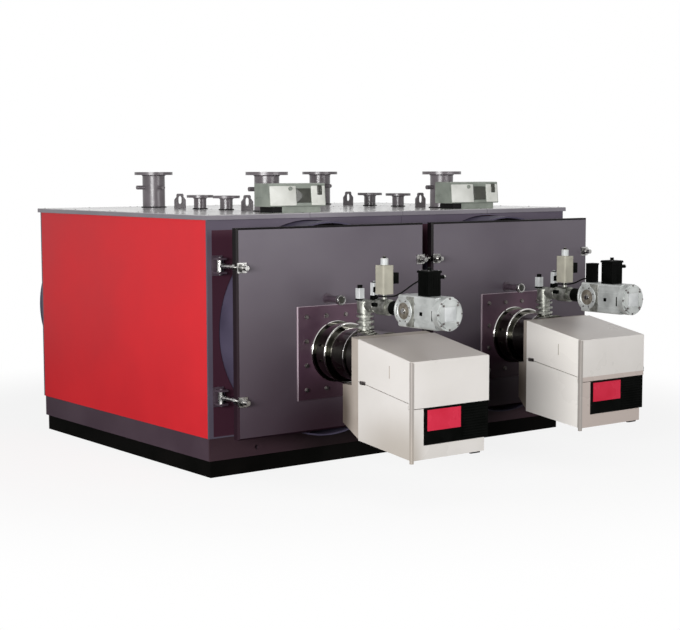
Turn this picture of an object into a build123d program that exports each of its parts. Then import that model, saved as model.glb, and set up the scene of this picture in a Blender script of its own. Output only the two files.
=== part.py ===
from build123d import *
import math
import os

# Two like hot water boilers stand side by side in one casing row, each with a burner on its swinging door
# Millimetres, +Z up and +Y to the back: the origin is on the floor under the middle of the casings

# Casing row
unit_pitch = 1550.0
unit_gap = 3.0
casing_length = 2320.0
cover_top_z = 1650.0
cover_thickness = 30.0
cover_overhang = 15.0
cover_seam = 4.0
cover_split_y = 1260.0
cover_edge = 4.0
base_height = 108.0
base_inset = 22.0
plinth_top_z = 252.0
plinth_inset = 8.0
drain_x = -410.0
drain_z = 161.0
drain_radius = 15.0
drain_depth = 60.0
panel_thickness = 40.0
skin_thickness = 16.0
casing_hole_gap = 6.0
panel_fit = 0.5

# Pressure vessel, its furnace and its smoke tubes
vessel_radius = 686.0
vessel_wall = 10.0
vessel_axis_z = 914.0
vessel_front_reach = 225.0
turning_chamber_depth = 145.0
tube_plate_thickness = 18.0
plate_fit = 0.3
shell_hole_step = 3.0
furnace_radius = 300.0
furnace_wall = 12.0
furnace_axis_z = 779.0
furnace_length = 1900.0
furnace_end_dish = 70.0
smoke_tube_radius = 44.5
smoke_tube_wall = 4.0
outer_ring_radius = 600.0
outer_ring_count = 13
outer_ring_span = 276.0
inner_ring_radius = 484.0
inner_ring_count = 7
inner_ring_span = 156.0

# Smoke box behind the casing and its flue spigot
smoke_box_depth = 245.0
smoke_box_wall = 6.0
smoke_box_edge = 20.0
flue_radius = 150.0
flue_wall = 4.0
flue_length = 130.0
flue_axis_z = 1050.0
flue_collar_radius = 180.0
flue_collar_thickness = 10.0

# Flanged nozzles in a row along the top, with the lifting lugs between them
tall_nozzle_ys = (478.0, 1990.0)
tall_pipe_radius = 84.15
tall_pipe_wall = 5.0
tall_flange_radius = 142.5
tall_flange_thickness = 22.0
tall_flange_top_z = 1915.0
tall_bolt_circle = 240.0
tall_bolt_count = 8
tall_bolt_hole_radius = 11.0
sensor_socket_below_top = 115.0
sensor_socket_radius = 15.0
sensor_socket_length = 60.0
sensor_socket_turns = (180.0, 270.0)
short_nozzle_ys = (982.0, 1330.0)
short_pipe_radius = 44.45
short_pipe_wall = 3.6
short_flange_radius = 95.0
short_flange_thickness = 18.0
short_flange_top_z = 1750.0
short_bolt_circle = 150.0
short_bolt_count = 4
short_bolt_hole_radius = 9.0
nozzle_hole_gap = 4.0
nozzle_pad_width = 26.0
nozzle_pad_rise = 12.0
nozzle_pad_relief = 4.0
lug_ys = (719.0, 1609.0)
lug_width = 90.0
lug_head_width = 52.0
lug_rise = 107.0
lug_shoulder_rise = 62.0
lug_head_foot_rise = 84.0
lug_top_corner = 8.0
lug_thickness = 16.0
lug_eye_radius = 17.0
lug_eye_stretch = 26.0
lug_eye_below_top = 33.0

# Control box on the front of the cover
control_left_x = -235.0
control_width = 448.0
control_front_y = 99.0
control_depth = 178.0
control_bottom_z = 1690.0
control_height = 150.0
control_front_drop = 14.0
control_edge = 8.0
control_foot_inset = 34.0
display_left_x = -21.0
display_width = 117.0
display_height = 100.0
display_bottom_z = 1710.0
display_recess = 4.0
knob_x = -70.0
knob_z = 1806.0
knob_radius = 12.0
knob_height = 10.0
switch_block_left_x = 146.0
switch_block_width = 40.0
switch_block_bottom_z = 1762.0
switch_block_height = 66.0
vent_slot_front_y = 182.0
vent_slot_length = 80.0
vent_slot_z = 1746.0
vent_slot_height = 8.0
vent_slot_depth = 6.0

# Front door
door_width = 1475.0
door_height = 1300.0
door_bottom_z = 277.0
door_thickness = 50.0
door_seal_gap = 5.0
door_edge = 12.0
lining_radius = 540.0
lining_depth = 50.0
lining_chamfer = 22.0

# Swing bolts: the outer pair are the hinges, the inner pair leave open keepers
swing_bolt_x = 705.0
swing_bolt_zs = (515.0, 1337.0)
pin_reach = 40.0
pin_radius = 10.0
pin_head_radius = 15.0
pin_head_height = 7.0
pin_clearance = 0.3
keeper_clearance = 1.6
barrel_radius = 22.0
bracket_gap = 74.0
barrel_end_clearance = 0.5
rod_radius = 15.0
rod_tip_beyond_door = 65.0
slot_clearance = 3.0
ear_thickness = 12.0
ear_width = 60.0
ear_reach = 72.0
bracket_plate_width = 76.0
bracket_plate_thickness = 8.0
bracket_plate_margin = 14.0
washer_side = 62.0
washer_thickness = 10.0
nut_across_flats = 46.0
nut_height = 24.0

# Sight tube in the door
sight_x = -60.0
sight_z = 1116.0
sight_radius = 20.0
sight_length = 130.0
sight_ring_radius = 31.0
sight_ring_length = 24.0
sight_bore_radius = 14.0
sight_foot_radius = 34.0
sight_foot_thickness = 8.0

# Burner mounting plate and blast tube
burner_plate_side = 594.0
burner_plate_thickness = 12.0
burner_plate_edge = 3.0
blast_radius = 150.0
blast_hole_gap = 6.0
blast_bore_radius = 140.0
blast_bore_depth = 230.0
blast_inner_reach = 20.0
diffuser_radius = 98.0
diffuser_thickness = 5.0
diffuser_set_back = 30.0
diffuser_rod_radius = 14.0
collar_radius = 193.0
collar_thickness = 20.0
drum_radius = 182.0
drum_length = 92.0
drum_ring_radius = 190.0
drum_ring_thickness = 24.0
burner_tube_radius = 165.0
tube_ring_radius = 172.0
tube_ring_reach = 302.0
tube_ring_thickness = 20.0

# Burner housing: its top, seam and bottom fall towards the front
# The right unit has a shorter burner tube and a shallower frame behind the hood
right_burner_set_back = 175.0
right_frame_share = 0.5
housing_width = 594.0
housing_front_reach = 1119.0
hood_back_reach = 625.0
upper_frame_depth = 73.0
lower_frame_depth = 160.0
back_frame_inset = 8.0
hood_front_z = 840.0
hood_back_z = 930.0
seam_front_z = 598.0
seam_back_z = 678.0
seam_gap = 4.0
bottom_front_z = 273.0
bottom_back_z = 324.0
back_foot_z = 411.0
back_shelf_z = 645.0
hood_edge = 4.0
skirt_depth = 26.0
post_side = 18.0
post_corner = 6.0
post_drop = 18.0
body_right_inset = 36.0
intake_left_x = -207.0
intake_bottom_z = 353.0
intake_top_z = 571.0
intake_depth = 250.0
intake_block_inset = 6.0
intake_fit = 0.3
plate_left_x = -173.0
plate_width = 251.0
plate_bottom_z = 434.0
plate_height = 122.0
plate_thickness = 5.0
saddle_gap = 1.0

# Gas train above the burner
gas_axis_z = 1095.0
riser_reach = 312.0
gas_pipe_radius = 37.0
riser_collar_radius = 54.0
riser_collar_zs = (952.0, 985.0, 1020.0)
riser_collar_thickness = 12.0
riser_top_z = 1118.0
elbow_radius = 50.0
throttle_reach = 503.0
throttle_radius = 50.0
throttle_length = 100.0
actuator_side = 84.0
actuator_bottom_z = 1174.0
actuator_top_z = 1350.0
actuator_corner = 12.0
actuator_stem_radius = 16.0
actuator_head_radius = 23.0
actuator_head_top_z = 1393.0
actuator_cap_radius = 9.0
actuator_cap_height = 12.0
actuator_plug_width = 36.0
actuator_plug_depth = 40.0
actuator_plug_bottom_z = 1240.0
actuator_plug_height = 60.0
flange_reach = 695.0
flange_radius = 80.0
flange_thickness = 16.0
valve_back_reach = 728.0
valve_front_reach = 1060.0
valve_width = 150.0
valve_height = 190.0
valve_corner = 14.0
valve_groove_width = 16.0
valve_groove_depth = 6.0
end_cover_radius = 98.0
end_cover_thickness = 44.0
end_boss_flats = 164.0
end_boss_rise = 8.0
end_recess_width = 100.0
end_recess_height = 94.0
end_recess_depth = 4.0
coil_reach = 923.0
coil_side = 94.0
coil_height = 136.0
coil_lid_side = 104.0
coil_lid_height = 14.0
coil_edge = 4.0
coil_knob_radius = 12.0
coil_knob_height = 18.0
coil_socket_radius = 11.0
coil_socket_length = 38.0
coil_socket_z = 1300.0
coil_socket_inset = 18.0
small_switch_side = 42.0
small_switch_reach = 261.0
small_switch_top_z = 1196.0
tall_switch_side = 36.0
tall_switch_reach = 403.0
tall_switch_top_z = 1238.0
switch_edge = 3.0
switch_cap_radius = 10.0
switch_cap_height = 10.0
relay_left_x = -36.0
relay_width = 62.0
relay_depth = 54.0
relay_height = 112.0
relay_lid_height = 12.0
relay_lid_lip = 5.0
lead_radius = 5.0
lead_side_x = -30.0
lead_start_x = -10.0
lead_low_z = 1160.0
lead_end_z = 1276.0
lead_end_run = 27.0
lead_middle = ((-30.0, -757.0, 1161.0), (-30.0, -880.0, 1164.0), (-30.0, -965.0, 1184.0))
relay_lead_end_z = 1212.0
relay_lead_middle = ((-30.0, -757.0, 1161.0), (-30.0, -890.0, 1168.0))

# How far every cut runs past the face that it starts from
cut_over = 1.0

# Places worked out from the sizes above
unit_width = unit_pitch - unit_gap
cover_bottom_z = cover_top_z - cover_thickness
vessel_front_y = -vessel_front_reach
front_plate_y = vessel_front_y + turning_chamber_depth
rear_plate_y = casing_length - tube_plate_thickness
vessel_bore_radius = vessel_radius - vessel_wall
vessel_top_z = vessel_axis_z + vessel_radius
door_back_y = vessel_front_y - door_seal_gap
door_front_y = door_back_y - door_thickness
burner_face_y = door_front_y - burner_plate_thickness
rod_hole_radius = rod_radius + slot_clearance
gas_riser_y = door_front_y - riser_reach
control_slope = math.degrees(math.atan2(control_front_drop, control_height))
housing_front_y = door_front_y - housing_front_reach


def block(x_low, x_high, y_low, y_high, z_low, z_high):
    """A box given by its six faces."""
    size = Box(x_high - x_low, y_high - y_low, z_high - z_low)
    return Pos((x_low + x_high) / 2, (y_low + y_high) / 2, (z_low + z_high) / 2) * size


def upright(radius, z_low, z_high, x=0.0, y=0.0):
    """A round bar along Z."""
    return Pos(x, y, (z_low + z_high) / 2) * Cylinder(radius, z_high - z_low)


def lengthwise(radius, y_low, y_high, x=0.0, z=0.0):
    """A round bar along Y."""
    return Pos(x, (y_low + y_high) / 2, z) * Rot(90, 0, 0) * Cylinder(radius, y_high - y_low)


def side_profile(points, width, x=0.0):
    """A prism of the given (y, z) outline, width wide along X."""
    outline = Plane.YZ * make_face(Polyline(*points, close=True))
    return Pos(x, 0, 0) * extrude(outline, width / 2, both=True)


def cross_profile(points, depth, y=0.0):
    """A prism of the given (x, z) outline, depth long along Y."""
    outline = Plane.XZ * make_face(Polyline(*points, close=True))
    return Pos(0, y, 0) * extrude(outline, depth / 2, both=True)


def turned(points, z):
    """A body turned about a lengthwise axis, from (radius, y) points."""
    half = make_face(Polyline(*points, close=True))
    return Pos(0, 0, z) * revolve(half, Axis.Y)


def on_circle(radius, count, start=0.0, span=360.0):
    """Points round a circle, evenly spaced, or from end to end of a part of it."""
    gaps = count if span == 360.0 else count - 1
    angles = [math.radians(start + span * i / gaps) for i in range(count)]
    return [(radius * math.cos(a), radius * math.sin(a)) for a in angles]


def fused(solids):
    """One solid from pieces that meet."""
    whole = solids[0]
    for solid in solids[1:]:
        whole = whole + solid
    return whole


# Casing and base


def base():
    """Closed box section that carries both units."""
    half = (unit_pitch + unit_width) / 2 - base_inset
    half_length = casing_length / 2 - base_inset
    return block(-half, half, -half_length, half_length, 0, base_height)


def plinth():
    """Lower casing with the trough that the vessel lies in and a drain hole in its front."""
    half = unit_width / 2 - plinth_inset
    body = block(-half, half, plinth_inset, casing_length - plinth_inset, base_height, plinth_top_z)
    body -= lengthwise(drain_radius, plinth_inset - cut_over, plinth_inset + drain_depth, drain_x, drain_z)
    return body - lengthwise(vessel_radius + plate_fit, -cut_over, casing_length + cut_over, z=vessel_axis_z)


def side_panel(side):
    """Insulated panel down one side of a unit, between the front and rear skins."""
    outer = unit_width / 2
    inner = outer - panel_thickness
    low, high = sorted((side * inner, side * outer))
    ends = (skin_thickness + panel_fit, casing_length - skin_thickness - panel_fit)
    return block(low, high, *ends, plinth_top_z, cover_bottom_z)


def end_casing(front):
    """Front or rear skin with its insulation, round the vessel."""
    half = unit_width / 2
    backing_half = half - panel_thickness - panel_fit
    skin = block(-half, half, 0, skin_thickness, plinth_top_z, cover_bottom_z)
    back_y = panel_thickness
    backing = block(-backing_half, backing_half, skin_thickness, back_y, plinth_top_z, cover_bottom_z)
    casing = skin + backing
    hole_radius = vessel_radius + casing_hole_gap
    casing -= lengthwise(hole_radius, -cut_over, back_y + cut_over, z=vessel_axis_z)
    if front:
        return casing
    return Pos(0, casing_length, 0) * mirror(casing, Plane.XZ)


def cover_hole(pipe_radius, y):
    """Hole in the cover for a nozzle."""
    return upright(pipe_radius + nozzle_hole_gap, cover_bottom_z - cut_over, cover_top_z + cut_over, y=y)


def cover(side):
    """Four cover plates that meet on the centre line and at one cross seam."""
    outer = unit_width / 2 + cover_overhang
    inner = unit_width / 2
    low_x, high_x = (-outer, inner) if side < 0 else (-inner, outer)
    xs = ((low_x, -cover_seam / 2), (cover_seam / 2, high_x))
    front_y = -cover_overhang
    rear_y = casing_length + cover_overhang
    ys = ((front_y, cover_split_y - cover_seam / 2), (cover_split_y + cover_seam / 2, rear_y))
    holes = [cover_hole(tall_pipe_radius, y) for y in tall_nozzle_ys]
    holes += [cover_hole(short_pipe_radius, y) for y in short_nozzle_ys]
    holes += [lug_slot(y) for y in lug_ys]
    plates = []
    for x_low, x_high in xs:
        for y_low, y_high in ys:
            plate = block(x_low, x_high, y_low, y_high, cover_bottom_z, cover_top_z)
            plate = chamfer(plate.edges().group_by(Axis.Z)[-1], cover_edge)
            for hole in holes:
                plate -= hole
            plates.append(plate)
    return plates


# Pressure parts


def vessel_shell():
    """Cylinder of the vessel, open at the front, with a slightly narrower hole under each nozzle."""
    rear = casing_length + plate_fit
    shell = lengthwise(vessel_radius, vessel_front_y, rear, z=vessel_axis_z)
    shell -= lengthwise(vessel_bore_radius, vessel_front_y - cut_over, rear + cut_over, z=vessel_axis_z)
    for y in tall_nozzle_ys:
        hole_radius = tall_pipe_radius - tall_pipe_wall - shell_hole_step
        shell -= upright(hole_radius, vessel_axis_z, cover_top_z, y=y)
    for y in short_nozzle_ys:
        hole_radius = short_pipe_radius - short_pipe_wall - shell_hole_step
        shell -= upright(hole_radius, vessel_axis_z, cover_top_z, y=y)
    return shell


def smoke_tube_places():
    """Centres of the smoke tubes, in two arcs above and beside the furnace."""
    outer = on_circle(outer_ring_radius, outer_ring_count, 90 - outer_ring_span / 2, outer_ring_span)
    inner = on_circle(inner_ring_radius, inner_ring_count, 90 - inner_ring_span / 2, inner_ring_span)
    return [(x, vessel_axis_z + z) for x, z in outer + inner]


def tube_plates():
    """Front and rear plates that hold the furnace and the tubes."""
    plates = []
    for y, has_furnace in ((front_plate_y, True), (rear_plate_y, False)):
        radius = vessel_bore_radius - plate_fit
        plate = lengthwise(radius, y, y + tube_plate_thickness, z=vessel_axis_z)
        low_y = y - cut_over
        high_y = y + tube_plate_thickness + cut_over
        if has_furnace:
            plate -= lengthwise(furnace_radius + plate_fit, low_y, high_y, z=furnace_axis_z)
        for x, z in smoke_tube_places():
            plate -= lengthwise(smoke_tube_radius + plate_fit, low_y, high_y, x, z)
        plates.append(plate)
    return plates


def furnace():
    """Furnace tube with a dished blind end, so that the flame turns back to the front."""
    end_y = front_plate_y + furnace_length
    inner = furnace_radius - furnace_wall
    outline = [
        (inner, front_plate_y),
        (furnace_radius, front_plate_y),
        (furnace_radius, end_y),
        (furnace_radius / 2, end_y + furnace_end_dish),
        (0, end_y + furnace_end_dish),
        (0, end_y + furnace_end_dish - furnace_wall),
        (inner / 2, end_y + furnace_end_dish - furnace_wall),
        (inner, end_y - furnace_wall),
    ]
    return turned(outline, furnace_axis_z)


def smoke_tubes():
    """Tubes from plate to plate."""
    tubes = []
    bore = smoke_tube_radius - smoke_tube_wall
    for x, z in smoke_tube_places():
        tube = lengthwise(smoke_tube_radius, front_plate_y, casing_length, x, z)
        tube -= lengthwise(bore, front_plate_y - cut_over, casing_length + cut_over, x, z)
        tubes.append(tube)
    return tubes


def smoke_box():
    """Drum behind the vessel that gathers the smoke."""
    front = casing_length + 2 * plate_fit
    rear = front + smoke_box_depth
    bore = vessel_radius - smoke_box_wall
    outline = [
        (bore, front),
        (vessel_radius, front),
        (vessel_radius, rear - smoke_box_edge),
        (vessel_radius - smoke_box_edge, rear),
        (0, rear),
        (0, rear - smoke_box_wall),
        (bore - smoke_box_edge, rear - smoke_box_wall),
        (bore, rear - smoke_box_edge - smoke_box_wall),
    ]
    drum = turned(outline, vessel_axis_z)
    return drum - lengthwise(flue_radius + plate_fit, front, rear + cut_over, z=flue_axis_z)


def flue_spigot():
    """Round outlet that a chimney pipe slides over."""
    rear = casing_length + 2 * plate_fit + smoke_box_depth
    inner = rear - smoke_box_wall
    outer = rear + flue_length
    spigot = lengthwise(flue_radius, inner, outer, z=flue_axis_z)
    spigot += lengthwise(flue_collar_radius, rear, rear + flue_collar_thickness, z=flue_axis_z)
    return spigot - lengthwise(flue_radius - flue_wall, inner - cut_over, outer + cut_over, z=flue_axis_z)


# Top fittings


def nozzle(y, pipe_radius, wall, rim_radius, thickness, top_z, circle, count, hole_radius):
    """Pipe with a drilled flange, on a pad that follows the vessel and is relieved inside."""
    seat_radius = vessel_radius + plate_fit
    crown_z = vessel_axis_z + seat_radius
    body = upright(pipe_radius, vessel_axis_z, top_z, y=y)
    body += upright(pipe_radius + nozzle_pad_width, vessel_axis_z, crown_z + nozzle_pad_rise, y=y)
    body -= lengthwise(seat_radius, y - unit_pitch / 2, y + unit_pitch / 2, z=vessel_axis_z)
    body -= upright(pipe_radius + nozzle_pad_relief, vessel_axis_z, crown_z, y=y)
    body += upright(rim_radius, top_z - thickness, top_z, y=y)
    body -= upright(pipe_radius - wall, vessel_axis_z, top_z + cut_over, y=y)
    half_step = 180.0 / count
    for x, dy in on_circle(circle / 2, count, half_step):
        body -= upright(hole_radius, top_z - thickness - cut_over, top_z + cut_over, x, y + dy)
    return body


def sensor_socket(y, turn):
    """Boss for a sensor on the side of a tall nozzle, turned that many degrees from +X."""
    reach = tall_pipe_radius + sensor_socket_length
    socket = Pos(reach / 2, 0, 0) * Rot(0, 90, 0) * Cylinder(sensor_socket_radius, reach)
    socket = Pos(0, y, tall_flange_top_z - sensor_socket_below_top) * Rot(0, 0, turn) * socket
    return socket - upright(tall_pipe_radius - tall_pipe_wall / 2, vessel_axis_z, tall_flange_top_z, y=y)


def tall_nozzles():
    """Flow and return nozzles with their sensor sockets."""
    bodies = []
    for y in tall_nozzle_ys:
        body = nozzle(
            y,
            tall_pipe_radius,
            tall_pipe_wall,
            tall_flange_radius,
            tall_flange_thickness,
            tall_flange_top_z,
            tall_bolt_circle,
            tall_bolt_count,
            tall_bolt_hole_radius,
        )
        bodies.append(fused([body] + [sensor_socket(y, turn) for turn in sensor_socket_turns]))
    return bodies


def short_nozzles():
    """Safety valve and expansion nozzles."""
    return [
        nozzle(
            y,
            short_pipe_radius,
            short_pipe_wall,
            short_flange_radius,
            short_flange_thickness,
            short_flange_top_z,
            short_bolt_circle,
            short_bolt_count,
            short_bolt_hole_radius,
        )
        for y in short_nozzle_ys
    ]


def lug_outline():
    """Outline of a lifting lug from the vessel up to its narrower head."""
    half = lug_width / 2
    head = lug_head_width / 2
    top_z = cover_top_z + lug_rise
    right = [
        (half, vessel_top_z - lug_thickness),
        (half, cover_top_z + lug_shoulder_rise),
        (head, cover_top_z + lug_head_foot_rise),
        (head, top_z - lug_top_corner),
        (head - lug_top_corner, top_z),
    ]
    return right + [(-x, z) for x, z in reversed(right)]


def lug_slot(y):
    """Hole in the cover for a lug."""
    half = lug_width / 2 + nozzle_hole_gap
    wide = lug_thickness / 2 + nozzle_hole_gap
    return block(-half, half, y - wide, y + wide, cover_bottom_z - cut_over, cover_top_z + cut_over)


def lifting_lug(y):
    """Plate across the top of the vessel, with a tall eye above the cover."""
    lug = cross_profile(lug_outline(), lug_thickness, y)
    lug -= lengthwise(vessel_radius + plate_fit, y - lug_thickness, y + lug_thickness, z=vessel_axis_z)
    eye_z = cover_top_z + lug_rise - lug_eye_below_top
    foot_z = eye_z - lug_eye_stretch
    lug -= lengthwise(lug_eye_radius, y - lug_thickness, y + lug_thickness, z=eye_z)
    lug -= lengthwise(lug_eye_radius, y - lug_thickness, y + lug_thickness, z=foot_z)
    return lug - block(-lug_eye_radius, lug_eye_radius, y - lug_thickness, y + lug_thickness, foot_z, eye_z)


def control_face_y(z):
    """Where the leaning front of the control box is at a height."""
    return control_front_y + control_front_drop * (z - control_bottom_z) / control_height


def control_recess(left_x, width, bottom_z, height):
    """Shallow recess in the leaning front of the control box."""
    middle_z = bottom_z + height / 2
    recess = Rot(-control_slope, 0, 0) * Box(width, 2 * display_recess, height)
    return Pos(left_x + width / 2, control_face_y(middle_z), middle_z) * recess


def control_box():
    """Control box on its foot, with recesses for the display and a switch block, a side slot and a knob."""
    right = control_left_x + control_width
    back = control_front_y + control_depth
    top_z = control_bottom_z + control_height
    outline = [
        (control_front_y, control_bottom_z),
        (back, control_bottom_z),
        (back, top_z),
        (control_front_y + control_front_drop, top_z),
    ]
    case = side_profile(outline, control_width, control_left_x + control_width / 2)
    case = chamfer(case.edges().filter_by(Axis.X), control_edge / 2)
    foot = block(
        control_left_x + control_foot_inset,
        right - control_foot_inset,
        control_front_y + control_foot_inset / 2,
        back - control_foot_inset / 2,
        cover_top_z,
        control_bottom_z,
    )
    case -= control_recess(display_left_x, display_width, display_bottom_z, display_height)
    switch_sizes = (switch_block_width, switch_block_bottom_z, switch_block_height)
    case -= control_recess(switch_block_left_x, *switch_sizes)
    case -= block(
        control_left_x - cut_over,
        control_left_x + vent_slot_depth,
        vent_slot_front_y,
        vent_slot_front_y + vent_slot_length,
        vent_slot_z - vent_slot_height / 2,
        vent_slot_z + vent_slot_height / 2,
    )
    knob = Rot(90 - control_slope, 0, 0) * Cylinder(knob_radius, 2 * knob_height)
    return case + foot + Pos(knob_x, control_face_y(knob_z), knob_z) * knob


# Swing bolts, hinge brackets and keepers


def bracket_ears(bolt_z, slotted):
    """Plate on the casing front with two ears; a keeper's ears are open to the front."""
    half = bracket_gap / 2
    plate_half = half + ear_thickness + bracket_plate_margin
    parts = [
        block(
            -bracket_plate_width / 2,
            bracket_plate_width / 2,
            -bracket_plate_thickness,
            0,
            bolt_z - plate_half,
            bolt_z + plate_half,
        )
    ]
    for low in (bolt_z - half - ear_thickness, bolt_z + half):
        high = low + ear_thickness
        ear = block(-ear_width / 2, ear_width / 2, -ear_reach, -bracket_plate_thickness, low, high)
        if slotted:
            wide = pin_radius + keeper_clearance
            ear -= upright(wide, low - cut_over, high + cut_over, y=-pin_reach)
            ear -= block(-wide, wide, -ear_reach - cut_over, -pin_reach, low - cut_over, high + cut_over)
        parts.append(ear)
    return fused(parts)


def hinge_bracket(bolt_z):
    """Bracket with its fixed pin and the pin's heads."""
    half = bracket_gap / 2 + ear_thickness
    pin = upright(pin_radius, bolt_z - half - pin_head_height, bolt_z + half + pin_head_height, y=-pin_reach)
    head = upright(pin_head_radius, bolt_z + half, bolt_z + half + pin_head_height, y=-pin_reach)
    foot = upright(pin_head_radius, bolt_z - half - pin_head_height, bolt_z - half, y=-pin_reach)
    return fused([bracket_ears(bolt_z, False), pin, head, foot])


def swing_bolt(bolt_z, hinged):
    """Threaded rod on a barrel, with a square washer and a nut on the door's front and a nut behind it."""
    half = bracket_gap / 2 - barrel_end_clearance
    tip_y = door_front_y - rod_tip_beyond_door
    rod = lengthwise(rod_radius, tip_y, -pin_reach, z=bolt_z)
    barrel = upright(barrel_radius, bolt_z - half, bolt_z + half, y=-pin_reach)
    washer = block(
        -washer_side / 2,
        washer_side / 2,
        door_front_y - washer_thickness,
        door_front_y,
        bolt_z - washer_side / 2,
        bolt_z + washer_side / 2,
    )
    front_nut = hex_nut(door_front_y - washer_thickness, bolt_z)
    rear_nut = hex_nut(door_back_y + nut_height, bolt_z)
    bolt = fused([barrel, rod, washer, front_nut, rear_nut])
    if hinged:
        bore = pin_radius + pin_clearance
        return bolt - upright(bore, bolt_z - half - cut_over, bolt_z + half + cut_over, y=-pin_reach)
    pin_half = bracket_gap / 2 + ear_thickness + pin_head_height
    return bolt + upright(pin_radius, bolt_z - pin_half, bolt_z + pin_half, y=-pin_reach)


def hex_nut(back_y, z):
    """Hexagon nut on a lengthwise rod, its back at back_y."""
    outline = RegularPolygon(nut_across_flats / 2, 6, major_radius=False)
    nut = extrude(outline, nut_height / 2, both=True)
    return Pos(0, back_y - nut_height / 2, z) * Rot(90, 0, 0) * nut


def hinge_brackets(side):
    """Hinge brackets on a unit's outer side."""
    return [Pos(side * swing_bolt_x, 0, 0) * hinge_bracket(z) for z in swing_bolt_zs]


def keepers(side):
    """Open keepers on a unit's inner side."""
    return [Pos(-side * swing_bolt_x, 0, 0) * bracket_ears(z, True) for z in swing_bolt_zs]


def swing_bolts(side):
    """The four swing bolts of a door, all shown tight."""
    hinged = [Pos(side * swing_bolt_x, 0, 0) * swing_bolt(z, True) for z in swing_bolt_zs]
    free = [Pos(-side * swing_bolt_x, 0, 0) * swing_bolt(z, False) for z in swing_bolt_zs]
    return hinged + free


# Door


def door_plate():
    """Door with softened front edges, a slot for each swing bolt and a hole for the blast tube."""
    half = door_width / 2
    plate = block(-half, half, door_front_y, door_back_y, door_bottom_z, door_bottom_z + door_height)
    plate = chamfer(plate.edges().group_by(Axis.Y)[0], door_edge)
    low_y = door_front_y - cut_over
    high_y = door_back_y + cut_over
    for sign in (-1, 1):
        for z in swing_bolt_zs:
            x = sign * swing_bolt_x
            low_x, high_x = sorted((x, sign * (half + cut_over)))
            plate -= lengthwise(rod_hole_radius, low_y, high_y, x, z)
            plate -= block(low_x, high_x, low_y, high_y, z - rod_hole_radius, z + rod_hole_radius)
    plate -= lengthwise(blast_radius + blast_hole_gap, low_y, high_y, z=furnace_axis_z)
    return plate - lengthwise(sight_bore_radius, low_y, high_y, sight_x, sight_z)


def door_lining():
    """Refractory disc on the door's back that enters the vessel's mouth."""
    face_y = door_back_y + lining_depth
    outline = [
        (0, door_back_y),
        (lining_radius, door_back_y),
        (lining_radius, face_y - lining_chamfer),
        (lining_radius - lining_chamfer, face_y),
        (0, face_y),
    ]
    lining = turned(outline, vessel_axis_z)
    low_y = door_back_y - cut_over
    high_y = face_y + cut_over
    lining -= lengthwise(blast_radius + blast_hole_gap, low_y, high_y, z=furnace_axis_z)
    return lining - lengthwise(sight_bore_radius, low_y, high_y, sight_x, sight_z)


def sight_tube():
    """Tube with a bright ring at its end, to look at the flame through."""
    tip = door_front_y - sight_length
    tube = lengthwise(sight_radius, tip, door_front_y, sight_x, sight_z)
    tube += lengthwise(sight_foot_radius, door_front_y - sight_foot_thickness, door_front_y, sight_x, sight_z)
    tube += lengthwise(sight_ring_radius, tip - sight_ring_length, tip, sight_x, sight_z)
    return tube - lengthwise(sight_bore_radius, tip, door_front_y + cut_over, sight_x, sight_z)


# Burner


def burner_plate():
    """Square plate that closes the door round the blast tube."""
    half = burner_plate_side / 2
    plate = block(-half, half, burner_face_y, door_front_y, furnace_axis_z - half, furnace_axis_z + half)
    plate = chamfer(plate.edges().group_by(Axis.Y)[0], burner_plate_edge)
    low_y = burner_face_y - cut_over
    return plate - lengthwise(blast_radius + saddle_gap, low_y, door_front_y + cut_over, z=furnace_axis_z)


def blast_tube(set_back, frame_share):
    """Polished tube and its rings outside, and the combustion head with its diffuser inside."""
    floor_y = blast_inner_reach - blast_bore_depth
    disc_y = blast_inner_reach - diffuser_set_back
    collar_y = burner_face_y - collar_thickness
    drum_y = collar_y - drum_length
    drum_ring_y = drum_y - drum_ring_thickness
    ring_y = door_front_y - tube_ring_reach
    end_y = door_front_y - hood_back_reach + upper_frame_depth * frame_share + set_back
    outline = [
        (blast_bore_radius, blast_inner_reach),
        (blast_radius, blast_inner_reach),
        (blast_radius, burner_face_y),
        (collar_radius, burner_face_y),
        (collar_radius, collar_y),
        (drum_radius, collar_y),
        (drum_radius, drum_y),
        (drum_ring_radius, drum_y),
        (drum_ring_radius, drum_ring_y),
        (burner_tube_radius, drum_ring_y),
        (burner_tube_radius, ring_y),
        (tube_ring_radius, ring_y),
        (tube_ring_radius, ring_y - tube_ring_thickness),
        (burner_tube_radius, ring_y - tube_ring_thickness),
        (burner_tube_radius, end_y),
        (0, end_y),
        (0, disc_y),
        (diffuser_radius, disc_y),
        (diffuser_radius, disc_y - diffuser_thickness),
        (diffuser_rod_radius, disc_y - diffuser_thickness),
        (diffuser_rod_radius, floor_y),
        (blast_bore_radius, floor_y),
    ]
    return turned(outline, furnace_axis_z)


def falling_prism(low, high, x_low, x_high):
    """Part of the housing between two falling edges, each given by its front and its back height."""
    back_y = door_front_y - hood_back_reach
    outline = [(back_y, low[1]), (back_y, high[1]), (housing_front_y, high[0]), (housing_front_y, low[0])]
    return side_profile(outline, x_high - x_low, (x_low + x_high) / 2)


def corner_notch(side, low_z, high_z):
    """Square cut for the post at the housing's left front corner."""
    half = housing_width / 2
    front = housing_front_y
    return block(-half - cut_over, side - half, front - cut_over, front + side, low_z, high_z)


def burner_hood():
    """Upper part of the burner housing, with a skirt in front that reaches down to the air intake."""
    half = housing_width / 2
    low_z = seam_front_z + seam_gap / 2
    hood = falling_prism((low_z, seam_back_z + seam_gap / 2), (hood_front_z, hood_back_z), -half, half)
    hood = chamfer(hood.faces().sort_by(Axis.Z)[-1].edges(), hood_edge)
    front = housing_front_y
    hood += block(-half, half, front, front + skirt_depth, intake_top_z, low_z + skirt_depth)
    return hood - corner_notch(post_side + seam_gap / 2, intake_top_z - cut_over, hood_front_z + cut_over)


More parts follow.
